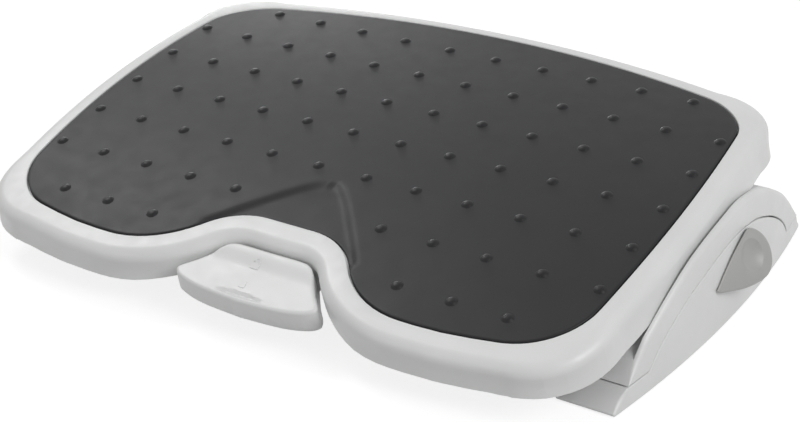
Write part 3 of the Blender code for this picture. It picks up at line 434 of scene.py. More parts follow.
def carved(work, tool, operation="DIFFERENCE"):
    """The first mesh after an exact Boolean with the second."""
    objects = []
    for mesh_work in (work, tool):
        bmesh.ops.remove_doubles(mesh_work, verts=mesh_work.verts, dist=MERGE * MM)
        bmesh.ops.triangulate(mesh_work, faces=mesh_work.faces)
        bmesh.ops.recalc_face_normals(mesh_work, faces=mesh_work.faces)
        mesh = bpy.data.meshes.new("carving")
        mesh_work.to_mesh(mesh)
        mesh_work.free()
        made = bpy.data.objects.new("carving", mesh)
        scene.collection.objects.link(made)
        objects.append(made)
    step = objects[0].modifiers.new("carve", "BOOLEAN")
    step.operation = operation
    step.solver = "EXACT"
    step.object = objects[1]
    bpy.context.view_layer.update()
    result = bmesh.new()
    result.from_object(objects[0], bpy.context.evaluated_depsgraph_get())
    for made in objects:
        mesh = made.data
        bpy.data.objects.remove(made)
        bpy.data.meshes.remove(mesh)
    return result


def gather(work, other):
    """Adds a second mesh to the first."""
    mesh = bpy.data.meshes.new("gathered")
    other.to_mesh(mesh)
    other.free()
    work.from_mesh(mesh)
    bpy.data.meshes.remove(mesh)


def mirrored(work):
    """The same mesh for the left side."""
    made = work.copy()
    bmesh.ops.scale(made, vec=(-1.0, 1.0, 1.0), verts=made.verts)
    return made


def both_sides(name, work, look, body, replaced):
    """A right and a left piece from one mesh; replaced is the CAD node's name without its side."""
    for side, mesh in (("left", mirrored(work)), ("right", work)):
        make(side + "_" + name, mesh, look, body.format(side=side), [side + "_" + replaced])


print("helpers are ready; pieces go into", pieces.name)

# %% [markdown]
# ## The crown of the tray
# From the side, the tray's top is an arc of a circle 1.48 m in radius, tilted 13 degrees towards
# the user. A point on it is given by x across the tray, s along the crown from its middle and h
# above it. All the shapes of the tray, mat and pedal are drawn in these three.

# %% Places on the tray
CROWN_RADIUS = 1478.6
REST_TILT = math.radians(13.18)
PIVOT_Y = 25.0
PIVOT_HEIGHT = 70.0
SURFACE_AHEAD = 42.7
SURFACE_ABOVE = 30.5
BAR_SOFT = 0.3


def on_platform(x, y, z):
    """A place given along and across the platform from its pivot."""
    ahead = y * math.cos(REST_TILT) - z * math.sin(REST_TILT)
    above = y * math.sin(REST_TILT) + z * math.cos(REST_TILT)
    return Vector((x, PIVOT_Y + ahead, PIVOT_HEIGHT + above)) * MM


def on_crown(x, s, h):
    """A place given across the tray, along its crown and above it."""
    angle = s / CROWN_RADIUS
    y = (CROWN_RADIUS + h) * math.sin(angle) - SURFACE_AHEAD
    z = (CROWN_RADIUS + h) * math.cos(angle) - CROWN_RADIUS + SURFACE_ABOVE
    return on_platform(x, y, z)


def bar(low, high, radius, y, z, bore=0.0):
    """A round bar across the platform with soft ends, and with a bore if it has one."""
    profile = [(low, radius - BAR_SOFT), (low + BAR_SOFT, radius), (high - BAR_SOFT, radius),
               (high, radius - BAR_SOFT)]
    if bore:
        profile = [(low, bore)] + profile + [(high, bore)]
    rows = [[(x, a, b) for a, b in circle(y, z, size)] for x, size in profile]
    work = skin(rows, on_platform)
    if bore:
        ends = sorted(work.faces, key=lambda face: len(face.verts))[-2:]
        bmesh.ops.delete(work, geom=ends, context="FACES_ONLY")
        edges = [edge for edge in work.edges if edge.is_boundary]
        bmesh.ops.bridge_loops(work, edges=edges)
    return work


print("middle of the mat:", [round(value, 4) for value in on_crown(0, 0, 0)])

# %% [markdown]
# ## Outline of the mat and the tray
# Seen from above, the mat is a wide rounded shape with bowed sides and a notch for the pedal. The
# tray's rim runs round it, wider near the user and at the outer corners.

# %% Mat and tray outlines
MAT_HALF_WIDTH = 232.3
MAT_FAR = 164.6
MAT_NEAR = -155.8
MAT_THICKNESS = 3.0
MAT_GAP = 0.8
FAR_CORNER = 38.0
NEAR_CORNER = 46.0
NEAR_CORNER_DEEP = 18.8
NEAR_TURN = 55.0
NEAR_TURN_IN = 36.7
NEAR_TURN_DEEP = 6.8
NEAR_SWEEP = 260.0
NEAR_SWEEP_IN = 79.5
FAR_BOW_RADIUS = 765.0
SIDE_BOW_RADIUS = 890.0
SIDE_BOW_MIDDLE = -10.0
NOTCH_DEPTH = 51.5
NOTCH_MOUTH_HALF = 84.2
NOTCH_ROOT_HALF = 43.0
NOTCH_MOUTH_RADIUS = 77.0
NOTCH_ROOT_RADIUS = 50.0
NOTCH_REACH = 120.0
RIM_FAR = 14.0
RIM_SIDE = 15.5
RIM_NEAR = 20.0
RIM_NOTCH = 22.0
RIM_CORNER = 8.0


def bowed(x, s):
    """Bends the far edge and the two sides into slow curves."""
    s -= max(0.0, s) / MAT_FAR * x * x / (2 * FAR_BOW_RADIUS)
    side = (s - SIDE_BOW_MIDDLE) ** 2 / (2 * SIDE_BOW_RADIUS)
    share = (abs(x) / MAT_HALF_WIDTH) ** 2
    return x - math.copysign(side * share, x), s


def mat_outline(longest=8.0):
    notch = MAT_NEAR + NOTCH_DEPTH
    near = [(NOTCH_ROOT_HALF, notch, NOTCH_ROOT_RADIUS), (NOTCH_MOUTH_HALF, MAT_NEAR, NOTCH_MOUTH_RADIUS),
            (MAT_HALF_WIDTH - NEAR_SWEEP_IN, MAT_NEAR, NEAR_SWEEP),
            (MAT_HALF_WIDTH - NEAR_TURN_IN, MAT_NEAR + NEAR_TURN_DEEP, NEAR_TURN),
            (MAT_HALF_WIDTH, MAT_NEAR + NEAR_CORNER_DEEP, NEAR_CORNER)]
    corners = [(MAT_HALF_WIDTH, MAT_FAR, FAR_CORNER), (-MAT_HALF_WIDTH, MAT_FAR, FAR_CORNER)]
    corners += [(-x, s, radius) for x, s, radius in reversed(near)] + near
    return [bowed(x, s) for x, s in finer(rounded(corners), longest)]


def tray_outline():
    """The mat's outline moved out by the rim, whose width follows the way the edge faces."""
    inner = mat_outline()
    widths = []
    for index, (x, s) in enumerate(inner):
        along = Vector(inner[(index + 1) % len(inner)]) - Vector(inner[index - 1])
        facing = -along.normalized().x
        share = facing ** 2
        wide = RIM_FAR
        if facing < 0:
            wide = RIM_NOTCH + (RIM_NEAR - RIM_NOTCH) * min(1.0, abs(x) / NOTCH_MOUTH_HALF)
            if abs(x) < NOTCH_REACH:
                share = 1.0
        widths.append(RIM_SIDE + (wide - RIM_SIDE) * share + RIM_CORNER * 4 * share * (1 - share))
    return outward(inner, widths)


print("mat outline has", len(mat_outline()), "points")

# %% [markdown]
# ## The tray
# The tray is a thin moulding: a floor under the mat, a lip round it, a rim with a wide soft
# shoulder, and a skirt that flares a little towards its hem. It is one loft, from the lip outwards
# over the rim, down the skirt, and back inside to the underside of the floor.

# %% Tray
SHOULDER = 8.5
SKIRT_NEAR = 22.0
SKIRT_SIDE = 27.0
SKIRT_STEP = 60.0
SKIRT_FLARE = 2.0
SKIRT_DOOR = 16.0
DOOR_HALF = 34.0
DOOR_SLOPE = 10.0
DOOR_END = -90.0
FLARE_FROM = 62.0  # the hem starts to flare here, past the pedal
FLARE_SLOPE = 30.0
HEM_SOFT = 0.5
TRAY_WALL = 2.5
TRAY_FLOOR = 3.0
RECESS = MAT_THICKNESS + 0.3
UNDERSIDE = RECESS + TRAY_FLOOR
LIP = [(0.0, -RECESS), (0.0, -1.2), (0.15, -0.6), (0.5, -0.15), (1.2, 0.0)]  # outwards and up, from the gap
CROWN_CUT = 9.0
TRAY_SPAN = (-180, 185)


def beside_door(x, s):
    """0 over the pedal's arms, rising to 1 beside them."""
    if s > DOOR_END:
        return 1.0
    return share_of((abs(x) - DOOR_HALF) / DOOR_SLOPE)


def flare(x, s):
    """How far the hem stands out: not at all beside the pedal."""
    if s > DOOR_END:
        return SKIRT_FLARE
    return SKIRT_FLARE * share_of((abs(x) - FLARE_FROM) / FLARE_SLOPE)


def skirt_depth(x, s):
    """How far the hem hangs below the crown: least over the pedal's arms."""
    depth = SKIRT_NEAR + (SKIRT_SIDE - SKIRT_NEAR) * share_of((s - MAT_NEAR) / SKIRT_STEP)
    return SKIRT_DOOR + (depth - SKIRT_DOOR) * beside_door(x, s)


def level(outline, height):
    """The outline as a ring at one height."""
    return [(x, s, height) for x, s in outline]


def skirt_ring(outer, share, inward=0.0):
    """A ring of the skirt, from the shoulder at share 0 to the hem at share 1."""
    moved = outward(outer, [flare(x, s) * share ** 2 - inward for x, s in outer])
    return [(x, s, -SHOULDER - (skirt_depth(x0, s0) - SHOULDER) * share)
            for (x, s), (x0, s0) in zip(moved, outer)]


def strips(low, high, wide):
    """The places of cuts this far apart."""
    return [low + wide * step for step in range(1, math.ceil((high - low) / wide))]


def make_tray():
    mat = mat_outline()
    outer = tray_outline()
    rings = [level(outward(mat, MAT_GAP + out), height) for out, height in LIP]
    for turn in reversed(quarter_turn(9)):
        rings.append(level(outward(outer, -SHOULDER * (1 - math.cos(turn))), SHOULDER * (math.sin(turn) - 1)))
    rings += [skirt_ring(outer, share) for share in (0.2, 0.4, 0.6, 0.8, 0.96)]
    rings += [skirt_ring(outer, 1.0, HEM_SOFT), skirt_ring(outer, 1.0, TRAY_WALL - HEM_SOFT),
              skirt_ring(outer, 0.96, TRAY_WALL)]
    rings += [level(outward(outer, -TRAY_WALL), -SHOULDER), level(outward(outer, -SHOULDER), -TRAY_FLOOR),
              level(outward(mat, MAT_GAP + TRAY_WALL), -TRAY_FLOOR),
              level(outward(mat, MAT_GAP + TRAY_WALL), -UNDERSIDE)]
    work = skin(rings, on_crown, strips(*TRAY_SPAN, CROWN_CUT))
    return make("tray", work, light_abs, "platform", ["platform_frame"])


tray = make_tray()
print("tray has", len(tray.data.polygons), "faces")

# %% [markdown]
# ## The rubber mat
# The mat is one sheet of rubber in the tray's recess, with a thin gap all round. Its face has a
# hollow with three corners before the notch, where the foot finds the pedal, and 74 raised dots
# for grip. The dots could be sculpted or displaced, but each is a small turned cap, so the same
# short profile serves them all and they stand square to the crown.

# %% Mat
DOT_PITCH = 40.0
DOT_ROW = 43.48
DOT_COLUMNS = 12
DOT_ROWS = [(3, range(1, 11)), (2, range(12)), (1, range(12)), (0, range(12)), (-1, range(12)),
            (-2, (0, 1, 2, 3, 4, 7, 8, 9, 10, 11)), (-3, (1, 2, 3, 8, 9, 10))]
DOT_PROFILE = [(4.6, -0.3), (4.2, 0.05), (3.7, 0.45), (3.1, 0.95), (2.4, 1.35), (1.5, 1.6), (0.5, 1.7)]
HOLLOW_APEX = -52.0
HOLLOW_SPREAD = 0.78
HOLLOW_DEPTH = 1.9
HOLLOW_TIP = 12.0
HOLLOW_REACH = 54.0  # its flanks meet the notch's edge here
SOFT_FLANK = 11.0
CRISP_FLANK = 6.0
MAT_EDGE = [(0.0, -MAT_THICKNESS), (0.0, -1.0), (0.15, -0.5), (0.5, -0.15), (1.0, 0.0), (2.0, 0.0), (3.5, 0.0)]
HOLLOW_CUT = 2.5


def dot_places():
    return [((column - (DOT_COLUMNS - 1) / 2) * DOT_PITCH, row * DOT_ROW)
            for row, columns in DOT_ROWS for column in columns]


def hollow(x, s):
    """Depth of the hollow: its left flank is soft and its right one crisp."""
    flank = CRISP_FLANK if x > 0 else SOFT_FLANK
    half = min(HOLLOW_REACH, (HOLLOW_APEX - s) * HOLLOW_SPREAD)
    return HOLLOW_DEPTH * eased((half - math.hypot(x, HOLLOW_TIP) + HOLLOW_TIP) / flank)


def on_mat(x, s, h):
    """The mat's face sinks into the hollow, and its flat back stays."""
    return on_crown(x, s, h if h < -MAT_THICKNESS / 2 else h - hollow(x, s))


def make_mat():
    outline = mat_outline()
    rings = [level(outward(outline, -inset), height) for inset, height in MAT_EDGE]
    cuts = strips(-60, 185, CROWN_CUT) + strips(-180, -45, HOLLOW_CUT)
    work = skin(rings, on_mat, sorted(set(cuts)), strips(-70, 70, HOLLOW_CUT))
    for x, s in dot_places():
        loft(work, [[on_crown(a, b, height) for a, b in circle(x, s, radius, 20)]
                    for radius, height in DOT_PROFILE])
    return make("rubber_mat", work, mat_rubber, "platform", ["foot_mat"])


make_mat()
print("mat has", len(dot_places()), "dots")

# %% [markdown]
# ## The pedal
# The pedal frees the tilt lock. It is a hollow moulding with a flat pad for the toe, a ridge at its
# back that the toe pushes against and a crescent scooped out before it. The pad is a loft, and the
# ridge rises from it by a height that grows smoothly over a few millimetres, as a sculptor would
# pull it up, so the slope blends into the pad with no seam.

# %% Pedal
PEDAL_PIN_Y = -147.0
PEDAL_PIN_Z = -2.0
PEDAL_HALF_WIDTH = 58.5
PEDAL_FRONT = -175.0
PEDAL_BACK = -128.4
PEDAL_PAD_DROP = 7.7
PEDAL_RIDGE_DROP = 4.7
PEDAL_THICKNESS = 17.0
RIDGE_HALF_WIDTH = 39.0
RIDGE_FOOT = -147.0
RIDGE_CREST = -131.5
SCOOP_HALF = 24.0
SCOOP_BACK = -166.0
SCOOP_DEPTH = 1.8
PEDAL_HEM = [(-4.7, 3.0), (-4.2, 0.0), (-2.4, 0.0), (-0.8, 0.7), (0.2, 3.0)]  # outwards and up, from the hem
PEDAL_SOFT = 2.2
PEDAL_TOP_INSET = 0.8
ARM_OUTLINE = [(-209.0, 11.5), (-209.0, -3.0), (-197.0, -7.0), (-147.0, -7.0), (-144.0, -2.0),
               (-147.0, 3.0), (-163.0, 7.8), (-177.5, 7.8), (-177.5, 11.5)]
ARM_INNER = 24.0
ARM_OUTER = 30.0
SLEEVE_RADIUS = 5.5
SLEEVE_BORE = 2.8
LEVER_REACH = 14.0
LEVER_RADIUS = 4.0
LEVER_HALF = 3.0
ROD_PEG_RADIUS = 2.0
ROD_PEG_END = 6.6
LOCK_SIGNS = [(-2.5, -160.0, 0.0, 0.85), (-5.0, -141.0, 1.2, 1.25)]  # x, s, how far it is open, size
SIGN_RAISED = 0.4
SIGN_SUNK = 0.6


def pedal_outline():
    """A soft wedge, wide in front and narrow at the ridge."""
    wide = PEDAL_HALF_WIDTH
    half = smooth([(0.0, PEDAL_FRONT), (wide * 0.55, PEDAL_FRONT + 2), (wide - 7.5, PEDAL_FRONT + 6.5),
                   (wide - 1, PEDAL_FRONT + 12), (wide - 2.5, PEDAL_FRONT + 17),
                   (wide - 9.5, PEDAL_FRONT + 25), (wide - 15.5, PEDAL_FRONT + 33),
                   (RIDGE_HALF_WIDTH - 0.5, PEDAL_BACK - 7.5), (RIDGE_HALF_WIDTH - 6, PEDAL_BACK - 2.3),
                   (RIDGE_HALF_WIDTH - 14, PEDAL_BACK), (0.0, PEDAL_BACK)], 6)
    return finer(half + [(-x, s) for x, s in reversed(half[1:-1])], 4.0)


def pad_height(x, s):
    """How far the pad's face stands over its flat front: the ridge, less the scoop."""
    ridge = (PEDAL_PAD_DROP - PEDAL_RIDGE_DROP) * eased((s - RIDGE_FOOT) / (RIDGE_CREST - RIDGE_FOOT))
    ridge *= eased((RIDGE_HALF_WIDTH + 4 - abs(x)) / 5)
    back = SCOOP_BACK - 3.5 * (x / SCOOP_HALF) ** 2
    front = SCOOP_BACK - 6.0 + 2.0 * (x / SCOOP_HALF) ** 2
    inside = eased((s - front) / 3.5) * eased((back - s) / 2.0) if abs(x) < SCOOP_HALF else 0.0
    return ridge - SCOOP_DEPTH * inside * eased((SCOOP_HALF - abs(x)) / 8)


def on_pedal(x, s, h):
    if h > -PEDAL_PAD_DROP - 3.0:
        h += pad_height(x, s)
    return on_crown(x, s, h)


def lock_sign(work, x, s, opened, size):
    """A padlock raised a hair over the pad: a body and a bent shackle."""
    half, tall, bend, line_half = 2.6 * size, 3.4 * size, 1.7 * size, 0.45 * size
    body = finer(rounded([(a, b, 0.5) for a, b in box_outline(x - half, s - tall, x + half, s)], 30), 0.8)
    turns = [math.pi * step / 12 for step in range(13)]
    arch = [(bend * math.cos(turn), 1.4 * size + bend * math.sin(turn)) for turn in turns]
    line = [(x + a, s + b) for a, b in [(bend, 0.0)] + arch + [(-bend, opened)]]
    shackle = outward(line, line_half, closed=False) + list(reversed(outward(line, -line_half, closed=False)))
    for outline in (body, shackle):
        loft(work, [[on_crown(a, b, pad_height(a, b) - PEDAL_PAD_DROP + up) for a, b in outline]
                    for up in (-SIGN_SUNK, SIGN_RAISED)])


def make_pedal():
    pad = pedal_outline()
    top = -PEDAL_PAD_DROP
    low = top - PEDAL_THICKNESS
    rings = [level(outward(pad, -5.0), top - 4.5)]  # the roof of the hollow inside
    rings += [level(outward(pad, out), low + up) for out, up in PEDAL_HEM]
    for turn in quarter_turn():
        rings.append(level(outward(pad, -PEDAL_TOP_INSET - PEDAL_SOFT * (1 - math.cos(turn))),
                           top - PEDAL_SOFT * (1 - math.sin(turn))))
    work = skin(rings, on_pedal, strips(-176, -128, 1.0), strips(-60, 60, 2.0))
    for side in (1, -1):
        gather(work, skin([[(side * at, a, b) for a, b in ARM_OUTLINE] for at in (ARM_INNER, ARM_OUTER)],
                          on_platform))
    gather(work, bar(-ARM_OUTER - 0.4, ARM_OUTER + 0.4, SLEEVE_RADIUS, PEDAL_PIN_Y, PEDAL_PIN_Z, SLEEVE_BORE))
    peg_height = PEDAL_PIN_Z + LEVER_REACH
    lever = capsule((PEDAL_PIN_Y, PEDAL_PIN_Z + 6.0), (PEDAL_PIN_Y, peg_height), LEVER_RADIUS)
    gather(work, skin([[(at, a, b) for a, b in lever] for at in (-LEVER_HALF, LEVER_HALF)], on_platform))
    gather(work, bar(0.0, ROD_PEG_END, ROD_PEG_RADIUS, PEDAL_PIN_Y, peg_height))
    for x, s, opened, size in LOCK_SIGNS:
        lock_sign(work, x, s, opened, size)
    return make("toe_pedal", work, light_abs, "pedal", ["foot_pedal"])


make_pedal()
print("the pad's face stands", round(pad_height(0, RIDGE_CREST), 1), "mm higher at the ridge")

# %% [markdown]
# ## The legs
# Each leg is a moulding with a long foot and a hump that carries the hood. Seen from the side it
# has a plain outline, and its outer face bows a little outwards. The loft runs across the leg, from
# the inner face to the outer one, and each point of the outline has its own edge radius: wide and
# soft on the slopes of the foot, and crisp where the hood's edge meets the hump. The pocket for
# the hood's tongue and the seats for tubes and pads are cut afterwards, as in the real mould.

# %% Legs
LEG_OUTER = 254.2
LEG_INNER = 207.5
LEG_BOW_RADIUS = 1110.0
LEG_BOW_Y = -18.0
SOLE = 1.0
LEDGE = 15.0
TOE = -164.5
TOE_TOP = -147.5
HEEL = 165.4
HEEL_TOP = 149.0
HUMP = [(-122.0, 15.0), (-111.0, 26.0), (-100.0, 33.5), (-77.0, 45.5), (-57.0, 52.0), (-34.0, 58.0),
        (-4.0, 62.0), (30.0, 59.5), (62.0, 49.5), (87.0, 38.0), (106.0, 26.0), (117.0, 15.5)]
CRISP = 0.8
GAP = 0.3
TONGUE_HALF = 35.5
TONGUE_FOOT = 5.0
TONGUE_IN = 215.5
TONGUE_OUT = 243.5
KNOB_Y = 32.0
KNOB_HEIGHT = 44.5
BOLT_RADIUS = 3.0
TUBE_PLACES = (-72.0, 115.0)
TUBE_HEIGHT = 13.0
TUBE_SEAT_RADIUS = 6.3
TUBE_SEAT_DEPTH = 10.0
PAD_PLACES = ((229.0, -112.0), (223.0, 150.0))
PAD_HALF_WIDE = 11.0
PAD_HALF_LONG = 17.0
PAD_SEAT_TOP = 2.8
PAST = 20.0  # how far a cutting shape reaches beyond what it cuts


def on_leg(x, y, z):
    """Spreads a flat leg between its inner face and its bowed outer face."""
    outer = LEG_OUTER - (y - LEG_BOW_Y) ** 2 / (2 * LEG_BOW_RADIUS)
    return Vector((LEG_INNER + x * (outer - LEG_INNER) / (LEG_OUTER - LEG_INNER), y, z)) * MM


def across_leg(outline, edge_radius):
    """A loft across the leg; edge_radius gives the outer edge's radius at a point."""
    outline = finer([(PIVOT_Y + a, b) for a, b in outline], 4.0)
    radii = [edge_radius(y - PIVOT_Y, z) for y, z in outline]
    wide = LEG_OUTER - LEG_INNER
    rings = [[(x, y, z) for y, z in outward(outline, -inset)]
             for x, inset in ((0.0, CRISP), (0.3 * CRISP, 0.3 * CRISP), (CRISP, 0.0))]
    for turn in quarter_turn():
        moved = outward(outline, [-radius * (1 - math.cos(turn)) for radius in radii])
        rings.append([(wide - radius * (1 - math.sin(turn)), y, z) for radius, (y, z) in zip(radii, moved)])
    return skin(rings, on_leg, strips(PIVOT_Y - 171.3, PIVOT_Y + 175, 8.0))


def leg_edge(_, z):
    """Soft along the foot and crisp at the sole and under the hood."""
    return CRISP + 2.6 * share_of((z - SOLE) / 7.0) * share_of((LEDGE - z) / 5.0)


def pad_seat_outline(x, y):
    wide, long = PAD_HALF_WIDE + GAP, PAD_HALF_LONG + GAP
    return rounded([(a, b, 5.0) for a, b in box_outline(x - wide, y - long, x + wide, y + long)], 15)


def make_leg():
    """The right leg with its pocket for the tongue, bolt hole, tube seats and pad seats."""
    hump = [(a, b, 0) for a, b in reversed(smooth(HUMP))]
    outline = rounded([(TOE + SOLE, SOLE, 1.5), (HEEL - SOLE, SOLE, 2.0), (HEEL_TOP, LEDGE, 7.0)] + hump
                      + [(TOE_TOP, LEDGE, 4.0)])
    work = across_leg(outline, leg_edge)
    reach = TONGUE_HALF + GAP
    pocket = box_outline(PIVOT_Y - reach, TONGUE_FOOT - GAP, PIVOT_Y + reach, 90.0)
    work = carved(work, slab(pocket, TONGUE_IN - GAP, TONGUE_OUT + GAP, sideways))
    bolt_hole = circle(KNOB_Y, KNOB_HEIGHT, BOLT_RADIUS + GAP)
    work = carved(work, slab(bolt_hole, TONGUE_OUT - GAP, LEG_OUTER + PAST, sideways))
    for y in TUBE_PLACES:
        seat = circle(y, TUBE_HEIGHT, TUBE_SEAT_RADIUS)
        work = carved(work, slab(seat, LEG_INNER - PAST, LEG_INNER + TUBE_SEAT_DEPTH, sideways))
    for x, y in PAD_PLACES:
        work = carved(work, slab(pad_seat_outline(x, y), -PAST, PAD_SEAT_TOP, plain))
    return work


both_sides("side_leg", make_leg(), light_abs, "base", "leg")
print("legs are", LEG_OUTER - LEG_INNER, "mm wide")

# %% [markdown]
# ## The hoods
# A hood covers each leg and slides with the height. Its fin rises beside the tray, so room is cut
# for the tray's skirt at both ends of its swing, and a flat tongue reaches down into the leg. Only
# the shell's outer edge is soft, and its lower edge stays crisp above the dark seam to the leg.

# %% Hoods
HOOD_ARCH = [(-126.0, 40.0), (-102.0, 56.0), (-75.0, 70.0), (-50.0, 77.5), (-25.0, 82.0), (2.0, 84.5),
             (38.0, 79.5), (63.0, 70.5), (97.0, 54.0), (119.0, 40.0), (135.0, 28.0), (148.0, 16.0)]
HOOD_CROSS = 66.0  # above this height the arch leaves the hump
HOOD_SOFT = 4.5
SEAM = 1.0
LIFT = 32.0
TILT_UP = math.radians(3.5)
RUNNING = 1.2
FIN_GAP = 0.8
HUB_RADIUS = 7.5
HUB_INSET = 0.8
HUB_COVER = 6.5
SHAFT_RADIUS = 4.0
SHAFT_HALF = 237.0
TONGUE_TOP = PIVOT_HEIGHT - 8.5
NUT_HALF = 5.3
NUT_TRACK_END = 223.8


def at_tilt(x, s, tilt):
    """Where a point of the skirt's hem lies at one tilt."""
    angle = s / CROWN_RADIUS
    reach = CROWN_RADIUS - skirt_depth(x, s)
    a = reach * math.sin(angle) - SURFACE_AHEAD
    b = reach * math.cos(angle) - CROWN_RADIUS + SURFACE_ABOVE
    return (x, PIVOT_Y + a * math.cos(tilt) - b * math.sin(tilt),
            PIVOT_HEIGHT + a * math.sin(tilt) + b * math.cos(tilt))


def skirt_room(tilt):
    """The room that the tray's side needs at one tilt."""
    line = [at_tilt(LEG_INNER, s, tilt)[1:] for s in range(-150, 171, 10)]
    line = [(y, z - RUNNING) for y, z in line]
    line += [(line[-1][0], 200.0), (line[0][0], 200.0)]
    swept = slab(line, LEG_INNER - PAST, LEG_OUTER + PAST, sideways)
    outer = tray_outline()
    hem = outward(outer, [flare(x, s) + FIN_GAP for x, s in outer])
    side = sorted((at_tilt(x, s, tilt)[:2] for x, s in hem if x > LEG_INNER), key=lambda point: point[1])
    inside = LEG_INNER - PAST
    plan = slab([(inside, side[0][1])] + side + [(inside, side[-1][1])], -PAST, 300.0, plain)
    return carved(swept, plan, "INTERSECT")


def hood_edge(a, z):
    """Soft along the arch, crisp along the seam over the hump, and thin at the two tips."""
    lower = max(z - LEDGE, 0.0)
    over_hump = a < HUMP[0][0] or a > HUMP[-1][0] or z > HOOD_CROSS
    for (a0, b0), (a1, b1) in zip(HUMP, HUMP[1:]):
        if a0 <= a <= a1 and z > b0 + (b1 - b0) * (a - a0) / (a1 - a0) + 4.0:
            over_hump = True
    return min(HOOD_SOFT, max(CRISP, 0.35 * lower)) if over_hump else CRISP


def make_hood():
    """The right hood: its shell, the room for the skirt, the tongue, the hub and the slots."""
    seat = LEDGE + SEAM
    seam = [(a, b) for a, b in outward(smooth(HUMP), -SEAM, closed=False) if b > seat]
    outline = [(TOE_TOP + 1.0, seat), (HUMP[0][0] - SEAM, seat)] + seam
    outline += [(HUMP[-1][0] + SEAM, seat), (HOOD_ARCH[-1][0], seat)] + list(reversed(smooth(HOOD_ARCH)))
    work = across_leg(outline, hood_edge)
    for tilt in (REST_TILT + TILT_UP, 0.0):
        work = carved(work, skirt_room(tilt))
    tongue = box_outline(PIVOT_Y - TONGUE_HALF, TONGUE_FOOT, PIVOT_Y + TONGUE_HALF, TONGUE_TOP)
    work = carved(work, slab(tongue, TONGUE_IN, TONGUE_OUT, sideways), "UNION")
    hub = circle(PIVOT_Y, PIVOT_HEIGHT, HUB_RADIUS)
    work = carved(work, slab(hub, LEG_INNER + HUB_INSET, LEG_OUTER - HUB_COVER, sideways), "UNION")
    shaft_hole = circle(PIVOT_Y, PIVOT_HEIGHT, SHAFT_RADIUS + GAP)
    work = carved(work, slab(shaft_hole, LEG_INNER - PAST, SHAFT_HALF + GAP, sideways))
    slot = capsule((KNOB_Y, KNOB_HEIGHT - LIFT), (KNOB_Y, KNOB_HEIGHT), BOLT_RADIUS + GAP)
    work = carved(work, slab(slot, TONGUE_IN - GAP, TONGUE_OUT + GAP, sideways))
    track = box_outline(KNOB_Y - NUT_HALF, KNOB_HEIGHT - LIFT - NUT_HALF,
                        KNOB_Y + NUT_HALF, KNOB_HEIGHT + NUT_HALF)
    return carved(work, slab(track, TONGUE_IN - GAP, NUT_TRACK_END, sideways))


both_sides("side_hood", make_hood(), light_abs, "carriage", "hood")
print("hoods lift by", LIFT, "mm")

# %% [markdown]
# ## The knobs
# The knob that clamps the height is a disc with a long pointed lever, so that it can be turned with
# a foot. Its face slopes outwards from the lever's thin tip and has a round dish over the bolt. The
# outline is lofted with a soft edge, and the dish is cut by a large ball.

# %% Knobs
KNOB_OUTLINE = [(-41.0, -9.5), (-38.0, -11.5), (-30.5, -13.2), (-14.5, -16.4), (-2.0, -17.0), (8.0, -15.6),
                (14.7, -11.0), (18.3, -4.5), (18.8, 3.0), (16.0, 9.5), (11.0, 14.5), (5.0, 17.6),
                (-0.5, 17.2), (-10.5, 12.2), (-21.0, 6.0), (-31.0, -1.4), (-38.7, -7.8)]
KNOB_EDGE = (-40.0, -9.0)
KNOB_RISE = (0.545, -0.839)
KNOB_SLOPE = 0.45
KNOB_THIN = 1.6
KNOB_SOFT = 3.2
DISH_AT = (-1.5, 2.5)
DISH_RADIUS = 10.5
DISH_DEPTH = 2.8


def knob_face(a, b):
    """How far the knob's sloping face stands out."""
    rise = (a - KNOB_EDGE[0]) * KNOB_RISE[0] + (b - KNOB_EDGE[1]) * KNOB_RISE[1]
    return KNOB_THIN + KNOB_SLOPE * max(0.0, rise)


def at_knob(x, a, b):
    return Vector((LEG_OUTER + GAP + x, KNOB_Y + a, KNOB_HEIGHT + b)) * MM


def make_knob():
    """The right knob: a loft with a soft edge, and a dish that a ball cuts."""
    outline = smooth(KNOB_OUTLINE + KNOB_OUTLINE[:1], 6)[:-1]
    rings = [[(height, a, b) for a, b in outward(outline, grow)] for grow, height in ((-0.4, 0.0), (0.1, 0.4))]
    soft = [KNOB_SOFT * share_of(knob_face(a, b) / 14.0) + 0.5 for a, b in outline]
    for turn in quarter_turn():
        moved = outward(outline, [0.3 - radius * (1 - math.cos(turn)) for radius in soft])
        rings.append([(knob_face(a, b) - radius * (1 - math.sin(turn)), c, d)
                      for (a, b), (c, d), radius in zip(outline, moved, soft)])
    work = skin(rings, at_knob)
    facing = Vector((1.0, -KNOB_SLOPE * KNOB_RISE[0], -KNOB_SLOPE * KNOB_RISE[1])).normalized()
    radius = (DISH_RADIUS ** 2 + DISH_DEPTH ** 2) / (2 * DISH_DEPTH)
    middle = Vector((knob_face(*DISH_AT),) + DISH_AT) + facing * (radius - DISH_DEPTH)
    ball = bmesh.new()
    bmesh.ops.create_uvsphere(ball, u_segments=160, v_segments=80, radius=radius * MM)
    bmesh.ops.translate(ball, verts=ball.verts, vec=at_knob(*middle))
    return carved(work, ball)


both_sides("clamp_knob", make_knob(), knob_abs, "{side}_dial", "knob")
print("a knob stands out", round(max(knob_face(a, b) for a, b in KNOB_OUTLINE), 1), "mm")

# %% [markdown]
# ## The pan's screws
# Four screws hold the pan under the tray. They are steel screws with a domed head and a cross
# recess. A bump could draw the recess, but it is seen from close by when the footrest is turned
# over, so each head is a short turned profile with two crossed bars cut from it.

# %% Screws
PAN_BOTTOM = -13.0
SCREW_PLACES = [(side * 64.0, y) for side in (-1, 1) for y in (-146.0, -77.0)]
SCREW_PROFILE = [(3.2, 0.3), (3.6, -0.05), (3.6, -0.6), (3.2, -1.3), (2.2, -1.75), (0.8, -1.9)]
RECESS_LONG = 2.1
RECESS_HALF = 0.45
RECESS_DEEP = 1.2


